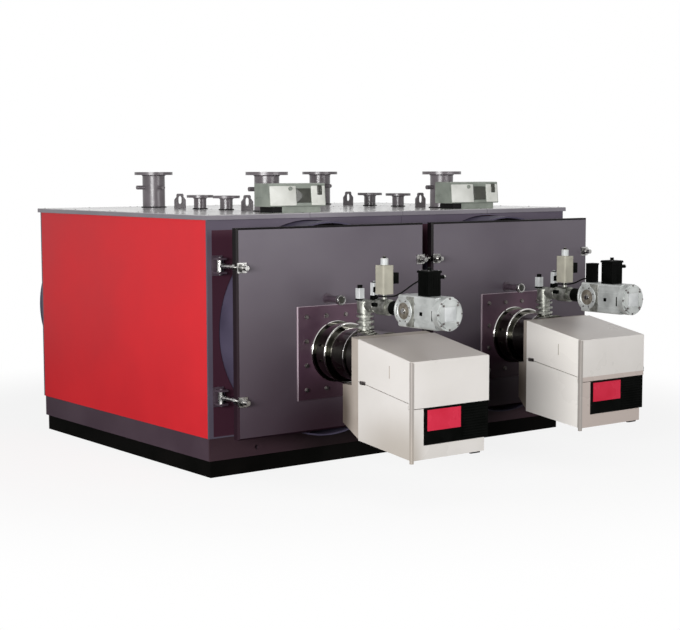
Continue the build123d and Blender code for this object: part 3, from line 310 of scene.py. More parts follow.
# Each finish starts from the real material and how its surface was made
finishValues = {
    # baked polyester powder: even colour, satin sheen, orange peel of about 4 mm, drawn at 9 mm so
    # that it shows
    "redPowderCoat": {"dark": "#C8272F", "light": "#D62C33", "cloudMm": 900, "rough": (0.42, 0.50),
                      "grainMm": 9, "grainDepthMm": 0.25, "ior": 1.25},
    "purplePowderCoat": {"dark": "#57505A", "light": "#625C64", "cloudMm": 800, "rough": (0.34, 0.44),
                         "grainMm": 8, "grainDepthMm": 0.25, "ior": 1.3},
    # door plate in the same coat, its side edges painted near black with little sheen as painted shade, painted
    # shade growing towards the bottom, and painted shadow below each burner
    "doorPowderCoat": {"dark": "#575059", "light": "#625C64", "cloudMm": 800, "rough": (0.30, 0.38),
                       "grainMm": 8, "grainDepthMm": 0.25, "ior": 1.36, "edge": "#0F0C0E",
                       "lowShade": (0.25, 1.5, 0.85, "#33202A"),
                       "edgeShine": 0.08,
                       "shades": (((-0.80, -1.44, 0.24), (0.55, 0.3, 0.40), "#120608", 0.9),
                                  ((0.75, -1.44, 0.24), (0.55, 0.3, 0.40), "#120608", 0.9))},
    # plinth channel in the same coat, painted darker as painted shade, with a darker band of painted shade along
    # its front and painted shadow low down in front of the left unit
    "plinthPowderCoat": {"dark": "#44363F", "light": "#4E4049", "cloudMm": 500, "rough": (0.40, 0.50),
                         "grainMm": 8, "grainDepthMm": 0.25, "ior": 1.25,
                         "patches": (((-1.56, -1.16, 0.10), (1.56, -1.14, 0.26), "#3A2A30"),),
                         "shades": (((-0.50, -1.15, 0.16), (0.60, 0.2, 0.50), "#0E0506", 0.9),)},
    # front casing: the purple coat, with the field behind the doors painted dark brown-black as painted shade
    "casingPowderCoat": {"dark": "#4F4855", "light": "#5B5460", "cloudMm": 700, "rough": (0.42, 0.52),
                         "grainMm": 8, "grainDepthMm": 0.25, "ior": 1.25,
                         "patches": (((-1.515, -1.2, 0.262), (1.515, -1.1, 1.556), "#3C212D"),)},
    # folded cover sheets: grey rims, and tops painted near white as a painted reflection of the sky at a flat angle
    "coverPowderCoat": {"dark": "#6C676F", "light": "#7A757D", "cloudMm": 600, "rough": (0.14, 0.20),
                        "grainMm": 10, "grainDepthMm": 0.08, "up": ("#E6E4E4", 1.0)},
    # thick bitumen paint on channel sections: nearly black, dull
    "bitumenPaint": {"dark": "#070706", "light": "#0D0C0B", "cloudMm": 250, "rough": (0.55, 0.75),
                     "grainMm": 14, "grainDepthMm": 0.6, "ior": 1.1},
    # rolled boiler plate under alkyd primer: blue-grey, rough, faint mill marks round the drum
    "primedBoilerPlate": {"dark": "#3E394A", "light": "#4C4659", "cloudMm": 300, "rough": (0.45, 0.60),
                          "ior": 1.3,
                          "grainMm": 12, "grainDepthMm": 0.5, "stretch": (1.0, 4.0, 1.0)},
    # forged flanges and welded pipe under sprayed enamel: dark grey-brown with a soft gloss
    "sprayedEnamel": {"dark": "#4E484B", "light": "#625C60", "cloudMm": 120, "rough": (0.24, 0.34),
                      "grainMm": 7, "grainDepthMm": 0.3},
    # brackets of the swing bolts: the casing's primer over welded steel
    "primedBracket": {"dark": "#3A2E37", "light": "#493D46", "cloudMm": 60, "rough": (0.38, 0.50),
                      "grainMm": 6, "grainDepthMm": 0.2},
    # flat plate under the burner: dark wine-red enamel with paler edges, and painted shadow low down below each
    # burner
    "burnerPlateEnamel": {"dark": "#44303D", "light": "#523C49", "cloudMm": 260, "rough": (0.30, 0.40),
                          "grainMm": 7, "grainDepthMm": 0.2, "ior": 1.36, "edge": "#A3939C",
                          "shades": (((-0.88, -1.45, 0.47), (0.45, 0.3, 0.28), "#24121A", 0.8),
                                     ((0.67, -1.45, 0.47), (0.45, 0.3, 0.28), "#24121A", 0.8))},
    # electroplated zinc: pale cold metal with slightly cloudy passivation
    "zincPlate": {"dark": "#8A8988", "light": "#BFBEBB", "cloudMm": 24, "rough": (0.18, 0.32), "metal": 1.0,
                  "grainMm": 4, "grainDepthMm": 0.08},
    # same plating gone dull with oil and heat
    "dullZincPlate": {"dark": "#55504F", "light": "#777170", "cloudMm": 30, "rough": (0.34, 0.50),
                      "metal": 1.0,
                      "grainMm": 5, "grainDepthMm": 0.15},
    # turned and polished stainless steel: mirror with fine rings round the tube, drawn 3 mm apart so
    # that they show
    "polishedStainless": {"dark": "#D0CECB", "light": "#E4E2DF", "cloudMm": 160, "rough": (0.05, 0.12),
                          "metal": 1.0, "grainMm": 12, "grainDepthMm": 0.05, "stretch": (0.3, 4.0, 0.3)},
    # same steel painted nearly black as a painted dark reflection, and painted bright on its crown as a painted
    # reflection of the sky
    "stainlessWithPaintedReflections": {"dark": "#4C4B45", "light": "#6E6D66", "cloudMm": 120, "rough": (0.06, 0.14),
                       "metal": 1.0, "grainMm": 12, "grainDepthMm": 0.05, "stretch": (0.3, 4.0, 0.3),
                       "up": ("#E4E2DF", 0.9)},
    # deep-drawn housing sheet under cream powder coat: warm white, semi-gloss, soft orange peel, its top
    # painted brown-grey as painted shade, and a greyer rubber-edged post at the left front corner; the right
    # housing's left side is painted lighter as painted light, the lower front of the right housing darker as
    # painted shade, and the left housing's left side darker low down as painted shade
    "creamHousingCoat": {"dark": "#D3CFCA", "light": "#DCD8D4", "cloudMm": 500, "rough": (0.26, 0.34),
                         "grainMm": 7, "grainDepthMm": 0.2, "ior": 1.48, "up": ("#A3968D", 0.5),
                         "patches": (((0.470, -2.36, 0.20), (0.482, -1.80, 0.95), "#F4F0EA"),
                                     ((0.490, -2.40, 0.20), (1.080, -2.37, 0.60), "#BDB1AA"),
                                     ((-1.0730, -2.57, 0.20), (-1.0535, -2.54, 0.84), "#A19B96"),
                                     ((0.4770, -2.40, 0.20), (0.4965, -2.36, 0.84), "#A19B96")),
                         "shades": (((-1.072, -2.45, 0.26), (0.12, 0.60, 0.34), "#ACA398", 0.7),)},
    # die-cast frame under the same cream, painted greyer and darker as painted shade, with more painted shade
    # towards its back edge
    "shadedCreamFrame": {"dark": "#A0968D", "light": "#AFA69D", "cloudMm": 240, "rough": (0.38, 0.48),
                       "grainMm": 6, "grainDepthMm": 0.3, "ior": 1.4,
                       "shades": (((-0.775, -1.90, 0.46), (3.0, 0.14, 0.34), "#4E453D", 0.95),
                                  ((0.775, -1.80, 0.46), (3.0, 0.11, 0.34), "#4E453D", 0.95))},
    # moulded black ABS: spark-eroded texture, low sheen
    "mouldedBlackAbs": {"dark": "#030403", "light": "#080908", "cloudMm": 90, "rough": (0.42, 0.56),
                        "grainMm": 3, "grainDepthMm": 0.12, "ior": 1.1},
    # gloss red enamel on a pressed plate
    "redPlateEnamel": {"dark": "#C52A40", "light": "#CF344C", "cloudMm": 160, "rough": (0.22, 0.30),
                       "grainMm": 9, "grainDepthMm": 0.1, "ior": 1.25},
    # moulded grey and beige housings of the instruments
    "mouldedBeigeAbs": {"dark": "#9A978A", "light": "#AAA799", "cloudMm": 80, "rough": (0.60, 0.70),
                        "grainMm": 3, "grainDepthMm": 0.1, "ior": 1.35},
    "mouldedGreyAbs": {"dark": "#B5B8B8", "light": "#C8CACA", "cloudMm": 60, "rough": (0.34, 0.44),
                       "grainMm": 3, "grainDepthMm": 0.1, "ior": 1.4},
    # shot-blasted cast aluminium: pale grey with a fine crystalline skin
    "castAluminium": {"dark": "#A4A7A5", "light": "#BFC2C0", "cloudMm": 90, "rough": (0.34, 0.50),
                      "metal": 0.35,
                      "grainMm": 3.5, "grainDepthMm": 0.25},
    # casting in the well round the valve's inlet, darkened as painted shade in the recess, with traces of brown
    # sealing compound
    "sealedAndShadedCasting": {"dark": "#4A4238", "light": "#7C766B", "cloudMm": 22, "rough": (0.36, 0.55),
                      "metal": 0.3,
                      "grainMm": 5, "grainDepthMm": 0.3},
    # zinc-coated malleable pipe and fittings: darker metal with drips and pits
    "galvanisedPipe": {"dark": "#6B6C66", "light": "#9B9C95", "cloudMm": 30, "rough": (0.28, 0.44),
                       "metal": 0.7,
                       "grainMm": 6, "grainDepthMm": 0.25},
    # rammed refractory in the door: pale, chalky, with pits and a heat-browned skin
    "rammedRefractory": {"dark": "#A8977E", "light": "#C9BDA8", "cloudMm": 130, "rough": (0.85, 0.95),
                         "grainMm": 9, "grainDepthMm": 2.0, "grainShare": 0.8},
    # mill-scaled tube plate and furnace steel, sooted by the flame
    "sootedSteel": {"dark": "#2A2624", "light": "#4A433E", "cloudMm": 140, "rough": (0.55, 0.75),
                    "metal": 0.35,
                    "grainMm": 8, "grainDepthMm": 0.6},
    # black PVC cable sheath
    "cableSheath": {"dark": "#0A0A0A", "light": "#121212", "cloudMm": 50, "rough": (0.34, 0.44),
                    "grainMm": 4, "grainDepthMm": 0.08, "ior": 1.25},
    # control box: extruded grey-green case, its tops painted lighter as painted light
    "greenGreyCase": {"dark": "#6F756D", "light": "#838980", "cloudMm": 90, "rough": (0.34, 0.44),
                      "grainMm": 4, "grainDepthMm": 0.12, "ior": 1.4, "up": ("#B4B9B1", 1.0)},
    # printed front of the control box, a pale warm grey
    "paleFascia": {"dark": "#C2C3BC", "light": "#D6D7D1", "cloudMm": 150, "rough": (0.32, 0.40),
                   "grainMm": 4, "grainDepthMm": 0.08, "ior": 1.4},
    # dark display window behind clear acrylic
    "displayWindow": {"dark": "#3A3B36", "light": "#474841", "cloudMm": 60, "rough": (0.16, 0.22),
                      "grainMm": 20, "grainDepthMm": 0.02, "ior": 1.3},
    # black rubber of grommets, seals and feet
    "blackRubber": {"dark": "#0C0C0C", "light": "#141414", "cloudMm": 30, "rough": (0.60, 0.75),
                    "grainMm": 4, "grainDepthMm": 0.15, "ior": 1.2},
    # woven glass-fibre rope that seals the door, dark with soot and graphite, darkened further to a maroon as
    # painted shade behind the door
    "glassRope": {"dark": "#2B2126", "light": "#3B3036", "cloudMm": 20, "rough": (0.85, 0.95),
                  "grainMm": 6, "grainDepthMm": 1.0, "grainShare": 0.8},
}
finishes = {name: makeFinish(name, values) for name, values in finishValues.items()}
print("finishes:", len(finishes))

# Finish of each CAD node; the two doors' nodes share theirs
rowFinishes = {
    "base": "bitumenPaint", "plinth": "plinthPowderCoat", "side_panels": "redPowderCoat",
    "inner_panels": "purplePowderCoat", "front_casings": "casingPowderCoat", "rear_casings": "purplePowderCoat",
    "covers": "coverPowderCoat", "vessel_shells": "primedBoilerPlate", "tube_plates": "sootedSteel",
    "smoke_tubes": "sootedSteel", "smoke_boxes": "primedBoilerPlate", "flue_spigots": "primedBoilerPlate",
    "tall_nozzles": "sprayedEnamel", "short_nozzles": "sprayedEnamel", "lifting_lugs": "sprayedEnamel",
    "control_boxes": "greenGreyCase", "hinge_brackets": "primedBracket", "bolt_keepers": "primedBracket",
}
doorFinishes = {
    "furnace_tube": "sootedSteel", "door_plate": "doorPowderCoat", "door_lining": "rammedRefractory",
    "door_bolts": "zincPlate", "sight_tube": "primedBracket", "burner_plate": "burnerPlateEnamel",
    "blast_tube": "stainlessWithPaintedReflections", "burner_hood": "creamHousingCoat", "burner_body": "creamHousingCoat",
    "burner_back": "shadedCreamFrame", "air_intake": "mouldedBlackAbs", "front_plate": "redPlateEnamel",
    "gas_pipe": "galvanisedPipe", "gas_actuator": "mouldedBeigeAbs", "gas_valve": "castAluminium",
    "gas_coil": "mouldedBlackAbs", "gas_switches": "mouldedGreyAbs", "gas_lead": "cableSheath",
    "gas_relay": "mouldedBlackAbs",
}
for nodeName, node in nodes.items():
    plainName = nodeName.split("_", 1)[1] if nodeName.split("_")[0] in ("left", "right") else nodeName
    finish = finishes[rowFinishes.get(plainName) or doorFinishes[plainName]]
    node.data.materials.clear()
    node.data.materials.append(finish)
print("finishes: on every CAD node")


# Faces of a closed form made of rings: a quad between neighbours on two rings, round the seam, and a fan
# to each pole
def ringFaces(rings, around):
    ring, step = np.meshgrid(np.arange(rings - 1), np.arange(around), indexing="ij")
    after = (step + 1) % around
    quads = np.stack([ring * around + step, ring * around + after,
                      (ring + 1) * around + after, (ring + 1) * around + step], axis=-1).reshape(-1, 4)
    edge = np.arange(around)
    following = (edge + 1) % around
    low, high, top = rings * around, rings * around + 1, (rings - 1) * around
    fans = np.concatenate([np.stack([np.full(around, low), following, edge], axis=1),
                           np.stack([np.full(around, high), top + edge, top + following], axis=1)])
    return quads, fans


# A form from rings of (x, y) and the height of each ring, closed at the middle of the first and the last
def closedForm(outlines, heights):
    rings, around = outlines.shape[:2]
    tall = np.broadcast_to(np.asarray(heights, float)[:, None, None], (rings, around, 1))
    points = np.concatenate([outlines, tall], axis=2).reshape(-1, 3)
    poles = np.array([[*outlines[0].mean(axis=0), heights[0]], [*outlines[-1].mean(axis=0), heights[-1]]])
    return (np.concatenate([points, poles]), *ringFaces(rings, around))


# Block with rounded upright corners and rounded rims: each ring is the rectangle drawn in by
# edge * (1 - sin t) at the height edge * (1 - cos t), t from 0 to 90 degrees, and the same turned over at
# the top
def softBlock(width, depth, height, corner, edge, steps=4):
    turn = np.linspace(0.0, math.pi / 2, steps)
    inset = np.concatenate([edge * (1 - np.sin(turn)), edge * (1 - np.sin(turn[::-1]))])
    heights = np.concatenate([edge * (1 - np.cos(turn)), height - edge * (1 - np.cos(turn[::-1]))])
    quarter = np.linspace(0.0, math.pi / 2, steps + 1)
    angle = np.concatenate([quarter + k * math.pi / 2 for k in range(4)])
    signX = np.repeat([1.0, -1.0, -1.0, 1.0], steps + 1)
    signY = np.repeat([1.0, 1.0, -1.0, -1.0], steps + 1)
    radius = (corner - inset)[:, None]
    x = signX * (width / 2 - corner) + radius * np.cos(angle)
    y = signY * (depth / 2 - corner) + radius * np.sin(angle)
    return closedForm(np.stack([x, y], axis=2), heights)


# Round form: the profile's (radius, height) rows turned about the axis; with flats, no point lies past
# flatReach / cos(angle from the nearest flat's middle), which cuts a hexagon or octagon out of it
def turnedForm(profile, around=32, flats=0, flatReach=0.0):
    rows = np.asarray(profile, float)
    angle = np.arange(around) * 2 * math.pi / around
    radius = np.broadcast_to(rows[:, :1], (len(rows), around))
    if flats:
        part = 2 * math.pi / flats
        radius = np.minimum(radius, flatReach / np.cos(np.mod(angle, part) - part / 2))
    outlines = np.stack([radius * np.cos(angle), radius * np.sin(angle)], axis=2)
    return closedForm(outlines, rows[:, 1])


# Ring with a round bead as its section: centre radius + bead * cos v, height + bead * sin v, carried round
# the axis
def beadRing(radius, bead, height=0.0, around=64, section=8, squash=1.0):
    u, v = np.meshgrid(np.arange(around) * 2 * math.pi / around, np.arange(section) * 2 * math.pi / section,
                       indexing="ij")
    reach = radius + bead * np.cos(v)
    points = np.stack([reach * np.cos(u), reach * np.sin(u), height + squash * bead * np.sin(v)], axis=2)
    i, j = np.meshgrid(np.arange(around), np.arange(section), indexing="ij")
    nextI, nextJ = (i + 1) % around, (j + 1) % section
    quads = np.stack([i * section + j, nextI * section + j, nextI * section + nextJ, i * section + nextJ],
                     axis=-1)
    return points.reshape(-1, 3), quads.reshape(-1, 4), np.zeros((0, 3), int)


# Hexagon head on its washer, both with turned chamfers
def hexHead(acrossFlats, height, washer=0.0):
    reach = acrossFlats / 2
    point = reach / math.cos(math.pi / 6)
    form = turnedForm([(point, 0.0), (point, height * 0.8), (reach * 0.96, height)], 24, 6, reach)
    if not washer:
        return form
    plate = turnedForm([(washer, 0.0), (washer, 2.0), (washer - 0.8, 2.6)], 24)
    return joined([plate, moved(form, (0.0, 0.0, 2.6))])


# Domed screw head with the shape radius * cos t, rise * sin t
def domeHead(radius, rise):
    turn = np.linspace(0.0, math.radians(80), 5)
    return turnedForm(np.stack([radius * np.cos(turn), rise * np.sin(turn)], axis=1), 16)


# Several forms as one
def joined(forms):
    counts = np.cumsum([0] + [len(form[0]) for form in forms])
    return (np.concatenate([form[0] for form in forms]),
            np.concatenate([form[1] + start for form, start in zip(forms, counts)]),
            np.concatenate([form[2] + start for form, start in zip(forms, counts)]))


def moved(form, shift):
    return form[0] + np.asarray(shift, float), form[1], form[2]


# Columns are where a form's own x, y and z point once it is turned to face that way
facing = {
    "up": np.array([[1, 0, 0], [0, 1, 0], [0, 0, 1]], float),
    "down": np.array([[1, 0, 0], [0, -1, 0], [0, 0, -1]], float),
    "front": np.array([[1, 0, 0], [0, 0, -1], [0, 1, 0]], float),
    "back": np.array([[-1, 0, 0], [0, 0, 1], [0, 1, 0]], float),
    "left": np.array([[0, 0, -1], [-1, 0, 0], [0, 1, 0]], float),
    "right": np.array([[0, 0, 1], [1, 0, 0], [0, 1, 0]], float),
}


# Copies of a form: each point turned to face that way, then moved to each place, all in one array
def placed(form, direction, places):
    points, quads, fans = form
    turned = points @ (facing[direction] if isinstance(direction, str) else direction).T
    spots = np.atleast_2d(np.asarray(places, float))
    many = (spots[:, None, :] + turned[None]).reshape(-1, 3)
    start = (np.arange(len(spots)) * len(points))[:, None, None]
    return many, (quads[None] + start).reshape(-1, 4), (fans[None] + start).reshape(-1, 3)


# Places of a unit's frame, in mm: from its middle, from the casing's front and from the floor
unitFrame = {"halfPitch": 775.0, "halfLength": 1160.0}


# A piece from forms in a unit's frame (side -1 or 1), its mesh in the row's frame in metres
def addPiece(name, forms, finish, body, side, creaseDegrees=35.0):
    points, quads, fans = joined(forms)
    points = (points + [side * unitFrame["halfPitch"], -unitFrame["halfLength"], 0.0]) / 1000.0
    mesh = bpy.data.meshes.new(name)
    mesh.from_pydata(points.tolist(), [], quads.tolist() + fans.tolist())
    mesh.polygons.foreach_set("use_smooth", np.ones(len(mesh.polygons), bool))
    mesh.set_sharp_from_angle(angle=math.radians(creaseDegrees))
    mesh.materials.append(finishes[finish])
    piece = bpy.data.objects.new(name, mesh)
    scene.collection.objects.link(piece)
    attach(piece, body)
    return piece


# Burner mounting plate: twelve hexagon bolts, four to a side
burnerPlateValues = {
    "faceY": -292.0, "axisZ": 779.0, "boltHalf": 231.0, "boltPitch": 154.0, "acrossFlats": 22.0, "head": 9.0,
    "washer": 15.0,
}


def burnerPlateBolts(name, side, values):
    line = values["boltHalf"] - values["boltPitch"] * np.arange(4)
    x, z = (grid.ravel() for grid in np.meshgrid(line, line))
    rim = np.maximum(np.abs(x), np.abs(z)) > values["boltHalf"] - 1.0
    places = np.stack([x[rim], np.full(rim.sum(), values["faceY"]), values["axisZ"] + z[rim]], axis=1)
    head = hexHead(values["acrossFlats"], values["head"], values["washer"])
    addPiece(name + "BurnerPlateBolts", [placed(head, "front", places)], "dullZincPlate", name + "_door",
             side)


# Polished beads round the burner flange, where its two rims and its tube's rim catch the light
drumValues = {"axisZ": 779.0, "beads": ((189.0, 8.0, -297.0), (186.0, 7.0, -422.0), (168.0, 5.0, -586.0))}


def drumBeads(name, side, values):
    rings = [placed(beadRing(radius, bead, 0.0, 120, 12), "front", (0.0, y, values["axisZ"]))
             for radius, bead, y in values["beads"]]
    addPiece(name + "FlangeBeads", rings, "polishedStainless", name + "_door", side)


# Sight tube: knurled bright bezel round its end and dark glass inside it
sightValues = {
    "x": -60.0, "z": 1116.0, "endY": -434.0, "bezel": 32.5, "inner": 21.0, "depth": 26.0, "knurls": 36,
    "knurl": 0.9,
}


def sightBezel(name, side, values):
    around = values["knurls"] * 4
    angle = np.arange(around) * 2 * math.pi / around
    knurl = values["knurl"] * np.abs(np.cos(values["knurls"] / 2 * angle))
    depth, outer, inner = values["depth"], values["bezel"], values["inner"]
    radii = np.array([outer - 1.5, outer, outer, outer - 2.5, inner + 2.0, inner])
    heights = np.array([0.0, 1.5, depth - 2.5, depth, depth, depth - 1.5])
    cut = np.array([0.0, 1.0, 1.0, 0.0, 0.0, 0.0])
    radius = radii[:, None] - cut[:, None] * knurl[None]
    outlines = np.stack([radius * np.cos(angle), radius * np.sin(angle)], axis=2)
    form = closedForm(outlines, heights)
    start = values["endY"] + depth - 1.0
    addPiece(name + "SightBezel", [placed(form, "front", (values["x"], start, values["z"]))], "zincPlate",
             name + "_door", side)
    glass = turnedForm([(values["inner"] - 0.5, 0.0), (values["inner"] - 0.5, 1.0),
                        (values["inner"] - 3.0, 1.5)], 32)
    addPiece(name + "SightGlass", [placed(glass, "front", (values["x"], values["endY"] + 0.6, values["z"]))],
             "displayWindow", name + "_door", side)


# Burner housing: catches on the seam's ends, a slotted grip on the side, rubber foot, and slats in the air
# intake
housingValues = {
    "halfWidth": 297.0, "frontY": -1399.0, "setBack": {"left": 0.0, "right": 175.0},
    "seamCatch": {"y": -952.0, "z": 673.0, "length": 50.0, "height": 22.0, "rise": 7.0},
    "sideGrip": {"y": -1200.0, "z": 764.0, "width": 6.0, "height": 74.0, "rise": 2.0},
    "frontCatch": {"y": -1380.0, "z": 608.0, "length": 30.0, "height": 36.0, "rise": 9.0},
    "foot": {"x": 197.0, "y": -1386.0, "z": 274.0, "width": 76.0, "depth": 22.0, "height": 12.0},
    "slats": {"leftX": 96.0, "rightX": 286.0, "lowZ": 366.0, "highZ": 560.0, "count": 13, "height": 7.0,
              "rise": 4.5},
}


def housingDetails(name, side, values):
    back = values["setBack"][name]
    half = values["halfWidth"]
    body = name + "_door"
    catch = values["seamCatch"]
    lever = softBlock(catch["length"], catch["height"], catch["rise"], 5.0, 2.5)
    hook = softBlock(catch["length"] * 0.45, catch["height"] * 0.5, catch["rise"] + 3.0, 3.0, 1.5)
    places = (-half, catch["y"] + back, catch["z"])
    hookPlace = (-half, catch["y"] + back + catch["length"] * 0.2, catch["z"])
    addPiece(name + "SeamCatch", [placed(lever, "left", places), placed(hook, "left", hookPlace)],
             "dullZincPlate",
             body, side)
    # the grip is drawn in the frame's darker cream, painted shade
    grip = values["sideGrip"]
    bar = softBlock(grip["width"], grip["height"], grip["rise"], 2.5, 1.0)
    addPiece(name + "SideGrip", [placed(bar, "left", (-half, grip["y"] + back, grip["z"]))],
             "shadedCreamFrame",
             body, side)
    catch = values["frontCatch"]
    block = softBlock(catch["length"], catch["height"], catch["rise"], 5.0, 2.5)
    addPiece(name + "FrontCatch", [placed(block, "right", (half, catch["y"] + back, catch["z"]))],
             "mouldedBlackAbs", body, side)
    foot = values["foot"]
    block = softBlock(foot["width"], foot["depth"], foot["height"], 6.0, 2.5)
    addPiece(name + "HousingFoot", [placed(block, "down", (foot["x"], foot["y"] + back, foot["z"] + 2.0))],
             "blackRubber", body, side)
    slats = values["slats"]
    width = slats["rightX"] - slats["leftX"]
    slat = softBlock(width, slats["height"], slats["rise"], 2.5, 1.6)
    z = np.linspace(slats["lowZ"], slats["highZ"], slats["count"])
    faceY = values["frontY"] + back + 6.0
    places = np.stack([np.full(len(z), (slats["leftX"] + slats["rightX"]) / 2), np.full(len(z), faceY), z],
                      axis=1)
    addPiece(name + "IntakeSlats", [placed(slat, "front", places)], "mouldedBlackAbs", body, side)


# Gas train: places and sizes of the valve, its coil, the motor, both switches, riser, inlet and bands
gasValues = {
    "axisZ": 1095.0, "bossY": -1392.0, "coverBolts": (54.0, 51.0), "panelWidth": 90.0, "panelHeight": 84.0,
    "panelY": -1388.0, "rimY": -1384.0, "rimBoltRadius": 90.5, "flangeY": -975.0, "flangeBoltRadius": 62.0,
    "valveX": 75.0, "nipple": (-1217.0, 1089.0), "slotY": -1315.0, "slotZ": (1053.0, 1114.0),
    "coil": {"y": -1203.0, "lidTop": 1340.0, "lidHalf": 52.0, "side": 47.0, "low": 1192.0, "high": 1324.0,
             "socketY": -1232.0, "socketZ": 1300.0, "socketEnd": 85.0},
    "actuator": {"y": -783.0, "half": 42.0, "lidZ": 1350.0, "seamZ": 1330.0, "plugY": -795.0,
                 "plugZ": 1236.0,
                 "lowPlugZ": 1196.0, "sidePlugY": -754.0, "sidePlugZ": 1110.0,
                 "plugSizes": ((46.0, 46.0, 68.0), (30.0, 34.0, 36.0), (46.0, 24.0, 16.0))},
    "smallSwitch": {"y": -541.0, "half": 21.0, "low": 1118.0, "high": 1196.0},
    "tallSwitch": {"y": -683.0, "half": 18.0, "low": 1132.0, "high": 1238.0},
    "riserY": -592.0, "riserCollars": (952.0, 985.0), "collar": 54.0,
    "inlet": {"y": -1000.0, "radius": 96.0, "bore": 60.0, "thick": 13.0, "boltRadius": 84.0, "boltCount": 8,
              "strap": (-1084.0, -1154.0, 1006.0, 1184.0)},
    "bands": {"y": (-648.0, -868.0), "length": (62.0, 66.0), "reach": (42.0, 44.0)},
    "sideCover": {"y": -1060.0, "radius": 78.0, "well": 50.0, "boltRadius": 65.0, "boltCount": 8},
}


def valveDetails(name, side, values):
    body = name + "_door"
    acrossX, acrossZ = values["coverBolts"]
    head = hexHead(13.0, 5.0)
    corners = [(i * acrossX, values["bossY"] + 0.2, values["axisZ"] + j * acrossZ)
               for i in (-1, 1) for j in (-1, 1)]
    angles = np.arange(8) * math.pi / 4
    rim = np.stack([values["rimBoltRadius"] * np.cos(angles), np.full(8, values["rimY"] + 0.2),
                    values["axisZ"] + values["rimBoltRadius"] * np.sin(angles)], axis=1)
    angles = angles[:4] * 2 + math.pi / 4
    flange = np.stack([values["flangeBoltRadius"] * np.cos(angles), np.full(4, values["flangeY"] - 0.2),
                       values["axisZ"] + values["flangeBoltRadius"] * np.sin(angles)], axis=1)
    addPiece(name + "ValveBolts", [placed(head, "front", corners), placed(hexHead(11.0, 4.5), "front", rim),
                                   placed(hexHead(18.0, 9.0, 12.0), "back", flange)],
             "dullZincPlate", body, side)
    panel = softBlock(values["panelWidth"], values["panelHeight"], 2.6, 5.0, 1.0)
    addPiece(name + "ValvePanel", [placed(panel, "front", (0.0, values["panelY"] + 0.2, values["axisZ"]))],
             "mouldedGreyAbs", body, side)
    nippleY, nippleZ = values["nipple"]
    slotLow, slotHigh = values["slotZ"]
    nipple = joined([softBlock(22.0, 22.0, 4.0, 4.0, 1.5), moved(hexHead(12.0, 6.0), (0.0, 0.0, 3.5))])
    slot = softBlock(9.0, slotHigh - slotLow, 2.0, 3.5, 0.8)
    addPiece(name + "ValveNipples", [placed(nipple, "left", (-values["valveX"] + 0.3, nippleY, nippleZ)),
                                     placed(slot, "left", (-values["valveX"] + 0.3, values["slotY"],
                                                           (slotLow + slotHigh) / 2))],
             "mouldedBlackAbs", body, side)


# Inlet end of the valve: round flange behind the block with its studs, a strap, and the bands of the pipe
def inletDetails(name, side, values):
    body = name + "_door"
    inlet = values["inlet"]
    radius, bore, thick = inlet["radius"], inlet["bore"], inlet["thick"]
    disc = turnedForm([(bore, 0.0), (radius - 2.0, 0.0), (radius, 2.0), (radius, thick - 2.0),
                       (radius - 2.0, thick), (bore, thick)], 96)
    addPiece(name + "InletFlange", [placed(disc, "front", (0.0, inlet["y"] + thick - 4.0, values["axisZ"]))],
             "castAluminium", body, side)
    angles = (np.arange(inlet["boltCount"]) + 0.5) * 2 * math.pi / inlet["boltCount"]
    studs = np.stack([inlet["boltRadius"] * np.cos(angles), np.full(len(angles), inlet["y"] - 3.8),
                      values["axisZ"] + inlet["boltRadius"] * np.sin(angles)], axis=1)
    faceX = -values["valveX"] + 0.4
    addPiece(name + "InletStuds", [placed(hexHead(12.0, 6.0), "front", studs)], "zincPlate", body, side)
    y1, y0, low, high = inlet["strap"]
    strap = softBlock(y1 - y0, high - low, 2.4, 6.0, 1.0)
    addPiece(name + "ValveStrap", [placed(strap, "left", (faceX, (y0 + y1) / 2, (low + high) / 2))],
             "galvanisedPipe", body, side)
    bands = []
    for start, length, reach in zip(*values["bands"].values()):
        band = turnedForm([(reach - 3.0, 0.0), (reach, 3.0), (reach, length - 3.0), (reach - 3.0, length)],
                          48)
        bands.append(placed(band, "front", (0.0, start, values["axisZ"])))
    addPiece(name + "ThrottleBand", bands[:1], "galvanisedPipe", body, side)
    addPiece(name + "PipeBand", bands[1:], "mouldedBlackAbs", body, side)


# Round filter cover on the valve's left side: a bright rim round a brown well painted darker as painted shade, with
# a nut in the middle
def sideCover(name, side, values):
    body = name + "_door"
    cover = values["sideCover"]
    radius, well = cover["radius"], cover["well"]
    place = (0.5 - values["valveX"], cover["y"], values["axisZ"])
    rim = turnedForm([(radius, 0.0), (radius, 6.0), (radius - 2.0, 8.0), (well + 4.0, 8.0), (well, 4.0)], 64)
    addPiece(name + "FilterCover", [placed(rim, "left", place)], "castAluminium", body, side)
    floor = turnedForm([(well - 0.5, 3.6), (well - 0.5, 4.6), (well - 1.5, 5.2)], 48)
    addPiece(name + "FilterWell", [placed(floor, "left", place)], "sealedAndShadedCasting", body, side)
    angles = (np.arange(cover["boltCount"]) + 0.5) * 2 * math.pi / cover["boltCount"]
    bolts = np.stack([np.full(len(angles), place[0] - 7.8), place[1] + cover["boltRadius"] * np.cos(angles),
                      place[2] + cover["boltRadius"] * np.sin(angles)], axis=1)
    middle = (place[0] - 4.8, place[1], place[2])
    addPiece(name + "FilterBolts", [placed(hexHead(11.0, 4.0), "left", bolts),
                                    placed(hexHead(26.0, 9.0, 18.0), "left", middle)],
             "zincPlate", body, side)


